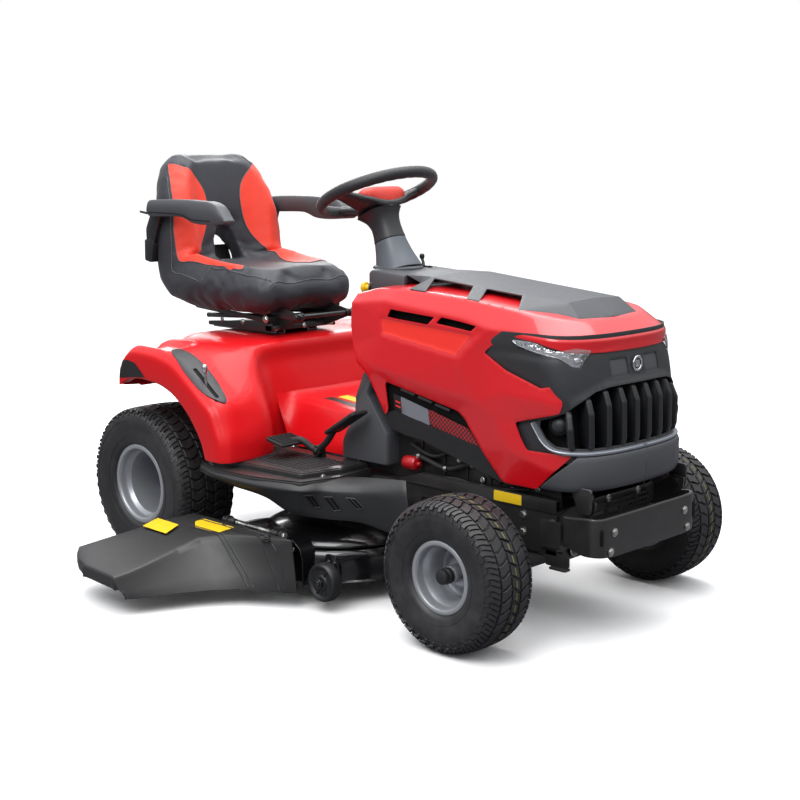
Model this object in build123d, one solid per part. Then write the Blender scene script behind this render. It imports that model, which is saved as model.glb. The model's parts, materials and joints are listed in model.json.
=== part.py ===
from build123d import *
import math
import os

# Riding lawn mower. The model is drawn in the tractor's own frame: x forward from the rear axle, y to the left,
# z up from the ground, millimetres. Every piece is then moved so that the origin is on the ground under the
# middle of the whole machine.

os.makedirs("parts", exist_ok=True)

# ---- driving dimensions ----
ORIGIN_X, ORIGIN_Y = 606.0, -175.0        # the middle of the machine, in the tractor's frame
GAP = 0.3                                 # clearance between neighbouring pieces
RUN = 0.05                                # radial clearance of a running fit

WHEELBASE = 1200.0
FRONT_TYRE_R, FRONT_TYRE_W, FRONT_TRACK = 190.0, 155.0, 412.0
REAR_TYRE_R, REAR_TYRE_W, REAR_TRACK = 228.0, 206.0, 398.0
FRONT_RIM_R, REAR_RIM_R = 80.0, 106.0     # bead seats
CARCASS = 10.0                            # thickness of the tyres' walls
AXLE_R = 9.5                              # 19 mm shafts and spindles
KINGPIN_Y = 300.0
TIE_ARM_X = 1100.0

RAIL_Y, RAIL_TOP, RAIL_T = 198.0, 322.0, 3.0
RAIL_REAR, RAIL_FRONT = -190.0, 1335.0
AXLE_PIVOT_Z = 172.0

HOOD_HALF = 236.0                         # half width of the hood over its sides
HOOD_SKIN = 5.0
HOOD_PIVOT_X, HOOD_PIVOT_Z = 1420.0, 350.0
NOSE_CENTRE, NOSE_SIDE = 1418.0, 1358.0   # x of the fascia on the centreline and at its sides

WHEEL_X, WHEEL_Z, WHEEL_R = 518.0, 1076.0, 178.0
WHEEL_TILT = 21.3                         # steering wheel off the horizontal, degrees

PLATFORM_Z = 650.0                        # red deck under the seat
FENDER_OUT, FENDER_IN = 505.0, 290.0
BOARD_Z = 350.0                           # top of the foot boards
SEAT_PIVOT_X, SEAT_PIVOT_Z = 290.0, 712.0

DECK_X, DECK_Z, DECK_FLOOR = 585.0, 150.0, 60.0
BLADE_Y, BLADE_R = 218.0, 213.0
DECK_R = 232.0
CHUTE_Y, CHUTE_Z, CHUTE_SLOPE = -478.0, 190.0, 12.9
CHUTE_ROD_R = 4.0
GAUGE_X, GAUGE_Y, GAUGE_Z, GAUGE_R = 762.0, 442.0, 80.0, 52.0

LIFT_X, LIFT_Y, LIFT_Z = 312.0, -466.0, 430.0


# ---- helpers ----
def save(shape, name):
    """Writes one piece in the machine's frame."""
    export_step(Pos(-ORIGIN_X, -ORIGIN_Y, 0) * shape, f"parts/{name}.step")


def block(x0, x1, y0, y1, z0, z1):
    return Pos((x0 + x1) / 2, (y0 + y1) / 2, (z0 + z1) / 2) * Box(x1 - x0, y1 - y0, z1 - z0)


def outline(points, radius=0.0):
    face = make_face(Polyline(*points, close=True))
    return fillet(face.vertices(), radius) if radius else face


def plate_xz(points, y0, y1, radius=0.0):
    """A side-view outline, solid from y0 to y1."""
    return extrude(Plane.XZ.offset(-y1) * outline(points, radius), amount=y1 - y0)


def plate_yz(points, x0, x1, radius=0.0):
    """A front-view outline, solid from x0 to x1."""
    return extrude(Plane.YZ.offset(x0) * outline(points, radius), amount=x1 - x0)


def plate_xy(points, z0, z1, radius=0.0):
    """A plan-view outline, solid from z0 to z1."""
    return extrude(Plane.XY.offset(z0) * outline(points, radius), amount=z1 - z0)


def rod(start, end, radius):
    """A round bar between two points."""
    direction = Vector(*end) - Vector(*start)
    return extrude(Plane(origin=start, z_dir=direction) * Circle(radius), amount=direction.length)


def left_of(shape):
    """The same piece on the other side of the machine."""
    return mirror(shape, about=Plane.XZ)


def both(shape):
    return shape + left_of(shape)


def spin_y(profile, x, y, z):
    """A profile of (radius, outward) points turned about a wheel's axis, right-hand side of the machine."""
    solid = revolve(Plane.XZ * outline(profile), axis=Axis.Z)
    return Pos(x, y, z) * Rot(90, 0, 0) * solid


# ---- wheels ----
def rim(rim_r, half, flange_r, disc_at, hub_out, hub_in, bore):
    """Drop-centre rim: barrel with two flanges, a dished disc and a hub with its bore."""
    barrel, wall, hub_r = rim_r - 9, 4.0, 26.0
    ring = [
        (barrel, -half), (flange_r, -half), (flange_r, -half + wall), (rim_r, -half + wall),
        (rim_r, -half * 0.55), (barrel + wall, -half * 0.4), (barrel + wall, half * 0.4),
        (rim_r, half * 0.55), (rim_r, half - wall), (flange_r, half - wall), (flange_r, half), (barrel, half),
    ]
    disc = [
        (hub_r - 4, disc_at - 14), (hub_r + 14, disc_at - 14), (barrel + 1, disc_at + 2),
        (barrel + 1, disc_at + 7), (hub_r + 12, disc_at - 9), (hub_r - 4, disc_at - 9),
    ]
    hub = [(bore, -hub_out), (hub_r, -hub_out), (hub_r, hub_in), (bore, hub_in)]
    return spin_y(ring, 0, 0, 0) + spin_y(disc, 0, 0, 0) + spin_y(hub, 0, 0, 0)


def tyre(rim_r, half, flange_r, tyre_r, tyre_w):
    """Tyre with round shoulders, seated between the rim's flanges and open towards the rim."""
    bead, side, edge = half - 4 - GAP, tyre_w / 2, tyre_w * 0.36
    wall_r = (tyre_r + flange_r) / 2
    section = [
        (rim_r + GAP, -bead), (flange_r + 2, -bead), (flange_r + 12, -side + 6), (wall_r, -side),
        (tyre_r - 26, -side + 3), (tyre_r - 9, -edge - 12), (tyre_r, -edge + 16), (tyre_r, edge - 16),
        (tyre_r - 9, edge + 12), (tyre_r - 26, side - 3), (wall_r, side), (flange_r + 12, side - 6),
        (flange_r + 2, bead), (rim_r + GAP, bead),
    ]
    air_side, air_top = side - CARCASS, tyre_r - CARCASS - 6
    air = [
        (rim_r - 2, -bead + CARCASS), (flange_r + 14, -bead + CARCASS), (wall_r, -air_side),
        (air_top - 16, -air_side + 4), (air_top, -edge + 8), (air_top, edge - 8),
        (air_top - 16, air_side - 4), (wall_r, air_side), (flange_r + 14, bead - CARCASS),
        (rim_r - 2, bead - CARCASS),
    ]
    return spin_y(section, 0, 0, 0) - spin_y(air, 0, 0, 0)


def wheels():
    front_hub = AXLE_R + RUN
    front_rim = Pos(WHEELBASE, -FRONT_TRACK, FRONT_TYRE_R) * rim(FRONT_RIM_R, 62, 90, 22, 46, 46, front_hub)
    front_tyre = Pos(WHEELBASE, -FRONT_TRACK, FRONT_TYRE_R) * tyre(
        FRONT_RIM_R, 62, 90, FRONT_TYRE_R, FRONT_TYRE_W)
    rear_hub = AXLE_R + GAP
    rear_rim = Pos(0, -REAR_TRACK, REAR_TYRE_R) * rim(REAR_RIM_R, 88, 117.5, 52, -20, 66, rear_hub)
    rear_tyre = Pos(0, -REAR_TRACK, REAR_TYRE_R) * tyre(REAR_RIM_R, 88, 117.5, REAR_TYRE_R, REAR_TYRE_W)
    shaft = rod((0, -110, REAR_TYRE_R), (0, -REAR_TRACK + 14, REAR_TYRE_R), AXLE_R)
    washer_y = -REAR_TRACK + 20 - GAP
    washer = rod((0, washer_y, REAR_TYRE_R), (0, washer_y - 5, REAR_TYRE_R), 24)
    for name, piece in (
        ("front_rim", front_rim), ("front_tyre", front_tyre), ("rear_rim", rear_rim),
        ("rear_tyre", rear_tyre), ("axle_shaft", shaft + washer),
    ):
        save(piece, f"{name}_right")
        save(left_of(piece), f"{name}_left")


# ---- chassis ----
def rail():
    """Pressed channel: a web with two flanges turned inwards, higher over the deck."""
    web_line = [
        (RAIL_REAR, 250), (120, 250), (980, 250), (1060, 212), (RAIL_FRONT, 212),
        (RAIL_FRONT, RAIL_TOP), (RAIL_REAR, RAIL_TOP),
    ]
    web = plate_xz(web_line, -RAIL_Y, -RAIL_Y + RAIL_T)
    top = block(RAIL_REAR, RAIL_FRONT, -RAIL_Y, -RAIL_Y + 32, RAIL_TOP - RAIL_T, RAIL_TOP)
    low = block(RAIL_REAR, 980, -RAIL_Y, -RAIL_Y + 25, 250, 250 + RAIL_T)
    return web + top + low


def cross_members():
    """Channels between the rails, and the two plates that carry the front axle's pin."""
    inner = RAIL_Y - RAIL_T - GAP
    pieces = list(hood_brackets())
    for x0, x1, z0, z1 in ((1310, 1316, 214, 318), (560, 566, 254, 318), (-60, -54, 254, 318)):
        pieces.append(block(x0, x1, -inner, inner, z0, z1))
    hole = rod((1100, 0, AXLE_PIVOT_Z), (1300, 0, AXLE_PIVOT_Z), 10)
    for x0 in (1166, 1228):
        ear_line = [(-inner, 318), (-inner, 216), (-40, 145), (40, 145), (inner, 216), (inner, 318)]
        ear = plate_yz(ear_line, x0, x0 + 6)
        pieces.append(ear - hole)
    return Compound(pieces)


def hitch_plate():
    """Rear plate with a tongue that has the drawbar hole."""
    back = block(RAIL_REAR - 6, RAIL_REAR - GAP, -200, 200, 235, 322)
    tongue = plate_xy([(-196, -70), (-196, 70), (-232, 45), (-250, 20), (-250, -20), (-232, -45)], 252, 260)
    return back + tongue - rod((-222, 0, 240), (-222, 0, 270), 8)


def front_bumper():
    """Folded plate: upright face, wings swept back to the rails, and a folded top lip."""
    low, high, wing_top = 226, 328, 318
    plan = [(1338, -196), (1352, -196), (1440, -214), (1471, -190), (1471, 190), (1440, 214), (1352, 196),
            (1338, 196), (1338, 192), (1352, 192), (1438, 209), (1466, 187), (1466, -187), (1438, -209),
            (1352, -192), (1338, -192)]
    wall = plate_xy(plan, low, high) - block(1330, 1438, -230, 230, wing_top, high + 1)
    lip = plate_xy([(1440, -205), (1466, -187), (1466, 187), (1440, 205)], high - RAIL_T, high)
    brackets = both(block(RAIL_FRONT - 40, 1352, -RAIL_Y - 6, -RAIL_Y - GAP, low, 300))
    joint = both(block(1338, 1352, -RAIL_Y - 6, -192, low, 300))
    return wall + lip + brackets + joint


def bumper_bolts():
    heads = []
    for y, z in ((149, 289), (163, 243)):
        for side in (-1, 1):
            heads.append(rod((1471 + GAP, side * y, z), (1477, side * y, z), 8))
    return Compound(heads)


def muffler_guard():
    """Louvred plate below the hood's nose, on two feet in front of the front cross member."""
    plate = block(1384, 1389, -135, 135, 292, 352)
    for row in range(4):
        for side in (-1, 1):
            plate -= block(1380, 1395, side * 60 - 42, side * 60 + 42, 300 + 12 * row, 305 + 12 * row)
    feet = both(block(1316 + GAP, 1385, -128, -112, 292, 297))
    return plate + feet


def hood_brackets():
    """Two brackets on the rails with the pins that the hood tips on."""
    line = [(1320, 240), (1334, 240), (1440, 335), (1440, 366), (1404, 366), (1320, 300)]
    post = plate_xz(line, -190, -184)
    pin = rod((HOOD_PIVOT_X, -187, HOOD_PIVOT_Z), (HOOD_PIVOT_X, -215, HOOD_PIVOT_Z), 8)
    arm = block(1318, 1334, -194.5, -184, 240, 300)
    right = post + pin + arm
    return right, left_of(right)


def axle_pin():
    return rod((1160, 0, AXLE_PIVOT_Z), (1240, 0, AXLE_PIVOT_Z), 10)


def engine():
    """Vertical-shaft engine: sump, cylinder with fins, blower housing and its screen."""
    sump = Pos(1000, 0, 385) * Cylinder(130, 120)
    cylinder = block(1040, 1200, -75, 75, 380, 500)
    for i in range(5):
        cylinder += block(1100 + 18 * i, 1105 + 18 * i, -95, 95, 375, 505)
    housing = Pos(1000, 0, 560) * Cylinder(165, 110)
    housing = fillet(housing.edges().group_by(Axis.Z)[-1], 30)
    case = Pos(1000, 0, 470) * Cylinder(110, 80)
    screen = Pos(1000, 0, 630) * Cylinder(90, 30)
    return sump + cylinder + case + housing + screen


def muffler():
    body = rod((1265, -110, 400), (1265, 110, 400), 52)
    pipe = rod((1265, -60, 360), (1330, -60, 330), 14)
    return body + pipe


def fuel_tank():
    tank = fillet(block(700, 830, -150, 150, 540, 660).edges(), 20)
    neck = Pos(765, 60, 672) * Cylinder(28, 40)
    return tank + neck


def transaxle():
    """Gearbox with axle tubes; the shafts run in its bores."""
    case = fillet(block(-95, 130, -105, 105, 150, 246).edges().filter_by(Axis.Y), 30)
    tubes = rod((0, -262, REAR_TYRE_R), (0, 262, REAR_TYRE_R), 20)
    input_hub = Pos(80, 0, 258) * Cylinder(20, 40)
    bore = rod((0, -300, REAR_TYRE_R), (0, -108, REAR_TYRE_R), AXLE_R + RUN)
    return case + tubes + input_hub - bore - left_of(bore)


# ---- rear body ----
FENDER_LINE = [
    (-118, 500), (-112, 580), (-72, 634), (0, PLATFORM_Z), (190, PLATFORM_Z), (262, 622),
    (330, 575), (392, 515), (418, 354), (300, 354), (300, 450), (0, 450),
]
SEAT_WALL_X = 256.0                       # front wall of the platform, between the fenders
TUNNEL_HALF = 150.0


def rear_fender():
    """Thin shell: fenders with wheel arches, the seat platform and the tunnel to the console."""
    skin, wall = 6.0, 6.0
    line = outline(FENDER_LINE)
    inside = offset(line, -skin)
    whole = extrude(Plane.XZ.offset(FENDER_OUT) * line, amount=-2 * FENDER_OUT)
    room = extrude(Plane.XZ.offset(FENDER_OUT - wall) * inside, amount=-2 * (FENDER_OUT - wall))
    shell = whole - room
    arch = rod((85, -600, 325), (85, 600, 325), 240)
    under = block(-200, 240, -600, 600, 300, 526)
    under += block(-110, 411, -FENDER_OUT + wall, FENDER_OUT - wall, 300, 480)
    shell = shell - arch - under
    shell -= block(SEAT_WALL_X + 6, 460, -FENDER_IN, FENDER_IN, 340, 700)
    cheek_line = [(250, 354), (250, 624), (262, 622), (330, 575), (392, 515), (418, 354)]
    cheeks = both(plate_xz(cheek_line, -FENDER_IN, -FENDER_IN + skin))
    front_wall = block(SEAT_WALL_X, SEAT_WALL_X + 6, -FENDER_IN, FENDER_IN, 354, 624)
    tunnel_line = [(250, 354), (250, 585), (300, 476), (566, 458), (566, 354)]
    tunnel = plate_xz(tunnel_line, -TUNNEL_HALF, TUNNEL_HALF)
    room_line = [(240, 340), (240, 590), (247, 580), (296, 470), (570, 452), (570, 340)]
    tunnel_room = plate_xz(room_line, -TUNNEL_HALF + skin, TUNNEL_HALF - skin)
    slot = block(258, 378, LIFT_Y - 9, LIFT_Y + 9, 480, 700)
    return (shell + cheeks + front_wall + tunnel) - tunnel_room - slot


def lever_plate():
    """Leaf-shaped plate on the right fender, with the lift lever's slot."""
    line = [(160, 653), (191, 653), (263, 625), (331, 578), (388, 523), (391, 519), (394, 525),
            (333, 582), (265, 629), (192, 657), (162, 657)]
    return plate_xz(line, -494, -424) - block(257, 379, LIFT_Y - 9, LIFT_Y + 9, 480, 720)


def foot_board():
    """Board with a turned-down outer edge and a skirt that sweeps in behind the front wheel."""
    plan = [(295, -235), (305, -478), (655, -430), (690, -300), (700, -235)]
    board = plate_xy(plan, BOARD_Z - 6, BOARD_Z)
    lip_line = [(305, -478), (655, -430), (690, -300), (684, -298), (650, -426), (305, -473)]
    lip = plate_xy(lip_line, 318, BOARD_Z)
    skirt_plan = [(345, -466), (655, -426), (910, -305), (910, -299), (655, -419), (345, -459)]
    skirt_side = [
        (345, 345), (345, 312), (610, 296), (680, 240), (790, 225), (910, 215), (910, 290), (690, 345),
    ]
    skirt = plate_xy(skirt_plan, 200, 400) & plate_xz(skirt_side, -600, -200)
    return board + lip + skirt


def foot_boards():
    """Both boards with their pedal posts; the right one also carries the lift lever's bracket."""
    board = foot_board() + pedal_post()
    save(board + lift_bracket(), "foot_board_right")
    save(left_of(board), "foot_board_left")


# ---- console and steering ----
def column_axis(distance):
    """A point on the steering shaft, at a distance below the wheel's centre."""
    tilt = math.radians(WHEEL_TILT)
    return (WHEEL_X + distance * math.sin(tilt), 0, WHEEL_Z - distance * math.cos(tilt))


def column_room(radius):
    return rod(column_axis(-40), column_axis(420), radius)


def console():
    """Dash tower: wide legs down to the foot boards and a narrower top under the steering column."""
    side = [(572, 354), (590, 520), (602, 640), (580, 770), (590, 806), (630, 812), (652, 640), (672, 540),
            (735, 488), (775, 440), (775, 354)]
    legs = plate_xz(side, -222, 222, 3)
    hollow = plate_xz([(584, 340), (600, 520), (612, 640), (592, 772), (622, 790), (642, 640), (664, 530),
                       (727, 478), (765, 434), (765, 340)], -212, 212)
    top = plate_xz([(545, 780), (530, 850), (550, 866), (734, 862), (734, 834), (640, 818), (600, 790)],
                   -120, 120, 3)
    top &= plate_xy([(520, -40), (574, -62), (592, -100), (614, -112), (740, -118), (740, 118), (614, 112),
                     (592, 100), (574, 62), (520, 40)], 700, 900)
    tunnel_gap = block(540, 568, -132, 132, 300, 620)
    knob_hole = rod((500, -84, 815), (606, -84, 815), 5 + RUN)
    key_hole = rod((500, 70, 815), (582, 70, 815), 3 + RUN)
    slot = block(596, 666, 61, 79, 830, 880)
    pin = rod((640, 58, 845), (640, 82, 845), 2.5)
    return legs - hollow + top - tunnel_gap - column_room(16) - knob_hole - key_hole - slot + pin


def column_covers():
    """Two sleeves round the steering shaft: a cone on the dash and a collar under the wheel."""
    base, joint, head = column_axis(222), column_axis(140), column_axis(57)
    low_a = Plane(origin=base, z_dir=(0, 0, 1)) * Circle(60)
    low_b = Plane(origin=joint, z_dir=(0, 0, 1)) * Circle(42)
    lower = loft([low_a, low_b]) - column_room(16)
    up_a = Plane(origin=(joint[0], 0, joint[2] + GAP), z_dir=(0, 0, 1)) * Circle(41)
    up_b = Plane(origin=(head[0] - 18, 0, head[2]), z_dir=(0, 0, 1)) * Circle(52)
    upper = loft([up_a, up_b]) - column_room(16)
    return lower, upper


def steering():
    """Wheel with a round rim, three spokes and a hub, on its shaft."""
    plane = Plane(origin=(WHEEL_X, 0, WHEEL_Z), x_dir=Vector(math.cos(math.radians(WHEEL_TILT)), 0,
                  math.sin(math.radians(WHEEL_TILT))), z_dir=Vector(-math.sin(math.radians(WHEEL_TILT)), 0,
                  math.cos(math.radians(WHEEL_TILT))))
    ring = Torus(WHEEL_R - 15, 15)
    hub = Pos(0, 0, -18) * Cylinder(46, 30)
    spokes = [Rot(0, 0, angle) * Pos(90, 0, -14) * Box(140, 34, 12) for angle in (0, 125, 235)]
    wheel = plane * (ring + hub + spokes[0] + spokes[1] + spokes[2])
    bore = rod(column_axis(-5), column_axis(60), 9.5 + GAP)
    shaft = rod(column_axis(-2), column_axis(400), 9.5)
    return wheel - bore, shaft


# ---- front axle ----
def front_axle():
    """Dropped-centre beam with a boss for each kingpin."""
    line = [(-205, 148), (205, 148), (258, 216), (318, 216), (318, 282), (270, 282), (205, 196), (-205, 196),
            (-270, 282), (-318, 282), (-318, 216), (-258, 216)]
    beam = plate_yz(line, 1178, 1222)
    boss = rod((WHEELBASE, -KINGPIN_Y, 216), (WHEELBASE, -KINGPIN_Y, 286), 20)
    beam = beam + both(boss)
    hole = rod((WHEELBASE, -KINGPIN_Y, 200), (WHEELBASE, -KINGPIN_Y, 300), AXLE_R + RUN)
    pin = rod((1150, 0, AXLE_PIVOT_Z), (1250, 0, AXLE_PIVOT_Z), 10 + RUN)
    return beam - both(hole) - pin


def knuckle():
    """Kingpin, spindle and steering arm of the right wheel."""
    kingpin = rod((WHEELBASE, -KINGPIN_Y, 180), (WHEELBASE, -KINGPIN_Y, 292), AXLE_R)
    foot = block(WHEELBASE - 18, WHEELBASE + 18, -KINGPIN_Y - 20, -KINGPIN_Y + 18, 170, 212)
    tip_y = -FRONT_TRACK - 54
    spindle = rod((WHEELBASE, -KINGPIN_Y, FRONT_TYRE_R), (WHEELBASE, tip_y, FRONT_TYRE_R), AXLE_R)
    washer_y = -FRONT_TRACK - 46 - GAP
    washer = rod((WHEELBASE, washer_y, FRONT_TYRE_R), (WHEELBASE, washer_y - 4, FRONT_TYRE_R), 16)
    arm = plate_xy([(TIE_ARM_X - 12, -312), (TIE_ARM_X - 12, -288), (1190, -286), (1190, -314)], 198, 206)
    ball = rod((TIE_ARM_X, -KINGPIN_Y, 180), (TIE_ARM_X, -KINGPIN_Y, 200), 6)
    return kingpin + foot + spindle + washer + arm + ball


def tie_rod():
    """Bar between the two steering arms; each end has an eye."""
    bar = rod((TIE_ARM_X, -KINGPIN_Y + 8, 188), (TIE_ARM_X, KINGPIN_Y - 8, 188), 5)
    eye = rod((TIE_ARM_X, -KINGPIN_Y, 182), (TIE_ARM_X, -KINGPIN_Y, 194), 13)
    tight = rod((TIE_ARM_X, -KINGPIN_Y, 170), (TIE_ARM_X, -KINGPIN_Y, 210), 6 + RUN)
    loose = rod((TIE_ARM_X, KINGPIN_Y, 170), (TIE_ARM_X, KINGPIN_Y, 210), 6 + 1.0)
    return bar + both(eye) - tight - loose


# ---- hood ----
def nose(x_centre, x_side, z0, z1, thickness):
    """Upright skin that is curved in plan, from one side of the hood to the other."""
    half = HOOD_HALF - HOOD_SKIN - GAP
    outer = ThreePointArc((x_side, -half), (x_centre, 0), (x_side, half))
    inner = ThreePointArc((x_side - thickness, half), (x_centre - thickness, 0), (x_side - thickness, -half))
    edges = outer + Line((x_side, half), (x_side - thickness, half)) + inner
    edges += Line((x_side - thickness, -half), (x_side, -half))
    return extrude(Plane.XY.offset(z0) * make_face(edges), amount=z1 - z0)


HOOD_TOP = [(646, 812), (742, 829), (1289, 800), (1420, 786)]


def hood_shell():
    """Red hood: two sides with the front arms, and the top between them."""
    side = [
        (646, 812), (742, 829), (1289, 800), (1362, 790), (1352, 752), (1190, 740), (1138, 707), (1349, 640),
        (1368, 575), (1350, 560), (1239, 533), (1300, 478), (1340, 512), (1396, 476), (1345, 392),
        (1209, 387), (1117, 430), (1080, 446), (950, 495), (803, 536), (757, 512), (688, 542),
    ]
    panel = plate_xz(side, -HOOD_HALF, -HOOD_HALF + HOOD_SKIN)
    top_line = HOOD_TOP + [(x, z - 6) for x, z in reversed(HOOD_TOP)]
    top = plate_xz(top_line, -HOOD_HALF, HOOD_HALF)
    plan = ThreePointArc((1362, -HOOD_HALF), (1412, 0), (1362, HOOD_HALF))
    edges = plan + Polyline((1362, HOOD_HALF), (600, HOOD_HALF), (600, -HOOD_HALF), (1362, -HOOD_HALF))
    limit = extrude(Plane.XY.offset(700) * make_face(edges), amount=200)
    rear_cut = block(600, 738, -112, 112, 760, 900)
    return both(panel) + (top & limit) - rear_cut


def hood_cover():
    """Raised cover on the hood's top, with bevelled sides."""
    stations = [(742, 845, 118, 205), (846, 864, 116, 205), (1289, 823, 104, 195), (1334, 802, 100, 180)]
    sections = []
    for x, z, top_half, low_half in stations:
        base = 829 - (x - 742) * (29 / 547) + 0.5
        face = outline([(-low_half, base), (low_half, base), (low_half, base + 2), (top_half, z),
                        (-top_half, z), (-low_half, base + 2)])
        sections.append(Plane.YZ.offset(x) * face)
    return loft(sections, ruled=True)


def nose_pieces():
    """Fascia with its openings, and the grille and headlamps that fill them."""
    fascia = nose(NOSE_CENTRE, NOSE_SIDE, 452, 778, 8)
    grille_hole = block(1300, 1500, -168, 168, 452, 640)
    lamp_line = [(-226, 742), (-226, 722), (-190, 694), (-120, 705), (-112, 716), (-150, 730)]
    lamp_hole = plate_yz(lamp_line, 1300, 1500)
    fascia = fascia - grille_hole - both(lamp_hole)
    frame_foot = both(block(1344, 1366, -228, -222, 460, 700))
    grille = nose(NOSE_CENTRE + 22, NOSE_SIDE + 22, 456, 640, 22)
    grille = grille & block(1300, 1500, -168 + GAP, 168 - GAP, 456, 640 - GAP)
    for i in range(-5, 6):
        grille -= block(1300, 1500, i * 28 - 8, i * 28 + 8, 480, 620)
    lamp = nose(NOSE_CENTRE, NOSE_SIDE, 600, 778, 8)
    inset = plate_yz([(-225.5, 741), (-225.5, 722.5), (-190, 695), (-120.5, 705.8), (-113, 716), (-150, 729)],
                     1300, 1500)
    lamps = (lamp & inset), left_of(lamp & inset)
    return fascia + frame_foot, grille, Compound(list(lamps))


def bumper_band():
    """Thick curved band under the grille, with the hood's two pivot ears."""
    band = nose(1450, 1392, 385, 451, 34)
    ear = plate_xz([(1400, 332), (1440, 332), (1440, 400), (1375, 400)], -204, -197)
    hole = rod((HOOD_PIVOT_X, -230, HOOD_PIVOT_Z), (HOOD_PIVOT_X, -180, HOOD_PIVOT_Z), 8 + RUN)
    return band + both(ear) - both(hole)


# ---- seat ----
def seat_slide():
    """Bracket that slides along the platform and carries the seat's front pivot."""
    plate = block(20, 300, -95, 95, PLATFORM_Z + 12, PLATFORM_Z + 17)
    ears = both(block(268, 308, -95, -89, PLATFORM_Z + 12, SEAT_PIVOT_Z + 12))
    pin = rod((SEAT_PIVOT_X, -112, SEAT_PIVOT_Z), (SEAT_PIVOT_X, 112, SEAT_PIVOT_Z), 6)
    runner = both(block(30, 290, -75, -55, PLATFORM_Z + 6.3, PLATFORM_Z + 12))
    return plate + ears + pin + runner


def seat_rails():
    """Two fixed rails on the platform that the slide runs on."""
    base = block(-20, 285, -85, -45, PLATFORM_Z + GAP, PLATFORM_Z + 3)
    lips = block(-20, 285, -85, -79, PLATFORM_Z + 3, PLATFORM_Z + 10)
    lips += block(-20, 285, -51, -45, PLATFORM_Z + 3, PLATFORM_Z + 10)
    right = base + lips
    return Compound([right, left_of(right)])


def seat_pan():
    """Pressed pan under the cushion: a plate and two ears on the pivot pin."""
    plate = block(-60, 330, -140, 140, 738, 744)
    ears = block(274, 306, -106, -100, SEAT_PIVOT_Z - 13, 740)
    hole = rod((SEAT_PIVOT_X, -120, SEAT_PIVOT_Z), (SEAT_PIVOT_X, -90, SEAT_PIVOT_Z), 6 + RUN)
    tail = block(-140, -60, -60, 60, 738, 744)
    back = plate_xz([(-146, 738), (-134, 738), (-134, 744), (-202, 900), (-212, 897)], -60, 60)
    return plate + both(ears - hole) + tail + back


def seat_cushion():
    """Bottom half of the bucket."""
    side = [(-70, 752), (330, 745), (372, 775), (372, 812), (340, 834), (150, 812), (-30, 815), (-80, 830)]
    return plate_xz(side, -240, 240, 8)


def seat_back():
    """Backrest, leaning back, with a hollow for the lumbar hole's depth left solid."""
    side = [
        (-84, 770), (-82, 840), (-178, 1190), (-202, 1207), (-245, 1200), (-262, 1170), (-178, 880),
        (-120, 768),
    ]
    return plate_xz(side, -215, 215, 5)


ARM_PIVOT = (-205.0, 1020.0)


def armrest():
    """Right armrest with its hub, on the pin of its bracket."""
    pad = plate_xz([(-228, 1030), (-222, 1052), (-120, 1058), (60, 1050), (120, 1040), (128, 1018), (112, 1004),
                    (40, 1002), (-60, 1012), (-170, 1000), (-222, 1004)], -268, -222, 4)
    hole = rod((ARM_PIVOT[0], -300, ARM_PIVOT[1]), (ARM_PIVOT[0], -240, ARM_PIVOT[1]), 6 + RUN)
    room = block(-260, -172, -240.5, -200, 980, 1080)
    return pad - hole - room


def armrest_brackets():
    """Steel brackets from the pan behind the backrest to the armrest pins."""
    line = [(-262, 915), (-228, 915), (-188, 1012), (-205, 1034), (-225, 1024), (-262, 960)]
    plate = plate_xz(line, -240, -234)
    inward = block(-268, -262, -240, -56, 915, 960)
    down = plate_xz([(-268, 960), (-262, 960), (-202, 900), (-208, 888), (-268, 915)], -60, -54)
    pin = rod((ARM_PIVOT[0], -234, ARM_PIVOT[1]), (ARM_PIVOT[0], -272, ARM_PIVOT[1]), 6)
    return plate + inward + down + pin


# ---- controls ----
def drive_pedal():
    """Rocker on the right foot board: a front pad, a rear pad and the lever between them."""
    front = Pos(650, -262, 468) * Rot(0, -38, 0) * Box(100, 62, 8)
    rear = Pos(468, -312, 398) * Rot(0, 10, 0) * Box(72, 96, 8)
    lever = plate_xz([(460, 388), (460, 398), (520, 400), (570, 402), (625, 452), (632, 444), (580, 388),
                      (556, 362), (536, 362), (526, 388)], -272, -260)
    hole = rod((546, -300, 374), (546, -220, 374), 6 + RUN)
    return front + rear + lever - hole


def brake_pedal():
    """Pad on a bent arm, on the left foot board."""
    pad = Pos(640, 272, 470) * Rot(0, -38, 0) * Box(90, 90, 8)
    arm = plate_xz([(556, 362), (536, 362), (536, 388), (612, 448), (624, 438)], 262, 274)
    hole = rod((546, 220, 374), (546, 300, 374), 6 + RUN)
    return pad + arm - hole


def pedal_post():
    """Post on the right foot board with the pedal's pin."""
    return block(536, 556, -256, -246, BOARD_Z - 1, 384) + rod((546, -250, 374), (546, -276, 374), 6)


def lift_lever():
    """Lift lever with its grip, standing through the slot in the right fender."""
    bar = rod((LIFT_X, LIFT_Y, LIFT_Z), (LIFT_X, LIFT_Y, 614), 5)
    grip = rod((LIFT_X, LIFT_Y, 612), (LIFT_X, LIFT_Y, 634), 7)
    eye = rod((LIFT_X, LIFT_Y - 8, LIFT_Z), (LIFT_X, LIFT_Y + 8, LIFT_Z), 13)
    hole = rod((LIFT_X, LIFT_Y - 20, LIFT_Z), (LIFT_X, LIFT_Y + 20, LIFT_Z), 7 + RUN)
    return bar + grip + eye - hole


def lift_bracket():
    """Plate under the right fender with the lift lever's pin."""
    plate = plate_xz([(308, 348), (340, 348), (318, 446), (284, 446)], LIFT_Y + 14, LIFT_Y + 20)
    pin = rod((LIFT_X, LIFT_Y + 16, LIFT_Z), (LIFT_X, LIFT_Y - 14, LIFT_Z), 7)
    return plate + pin


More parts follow.
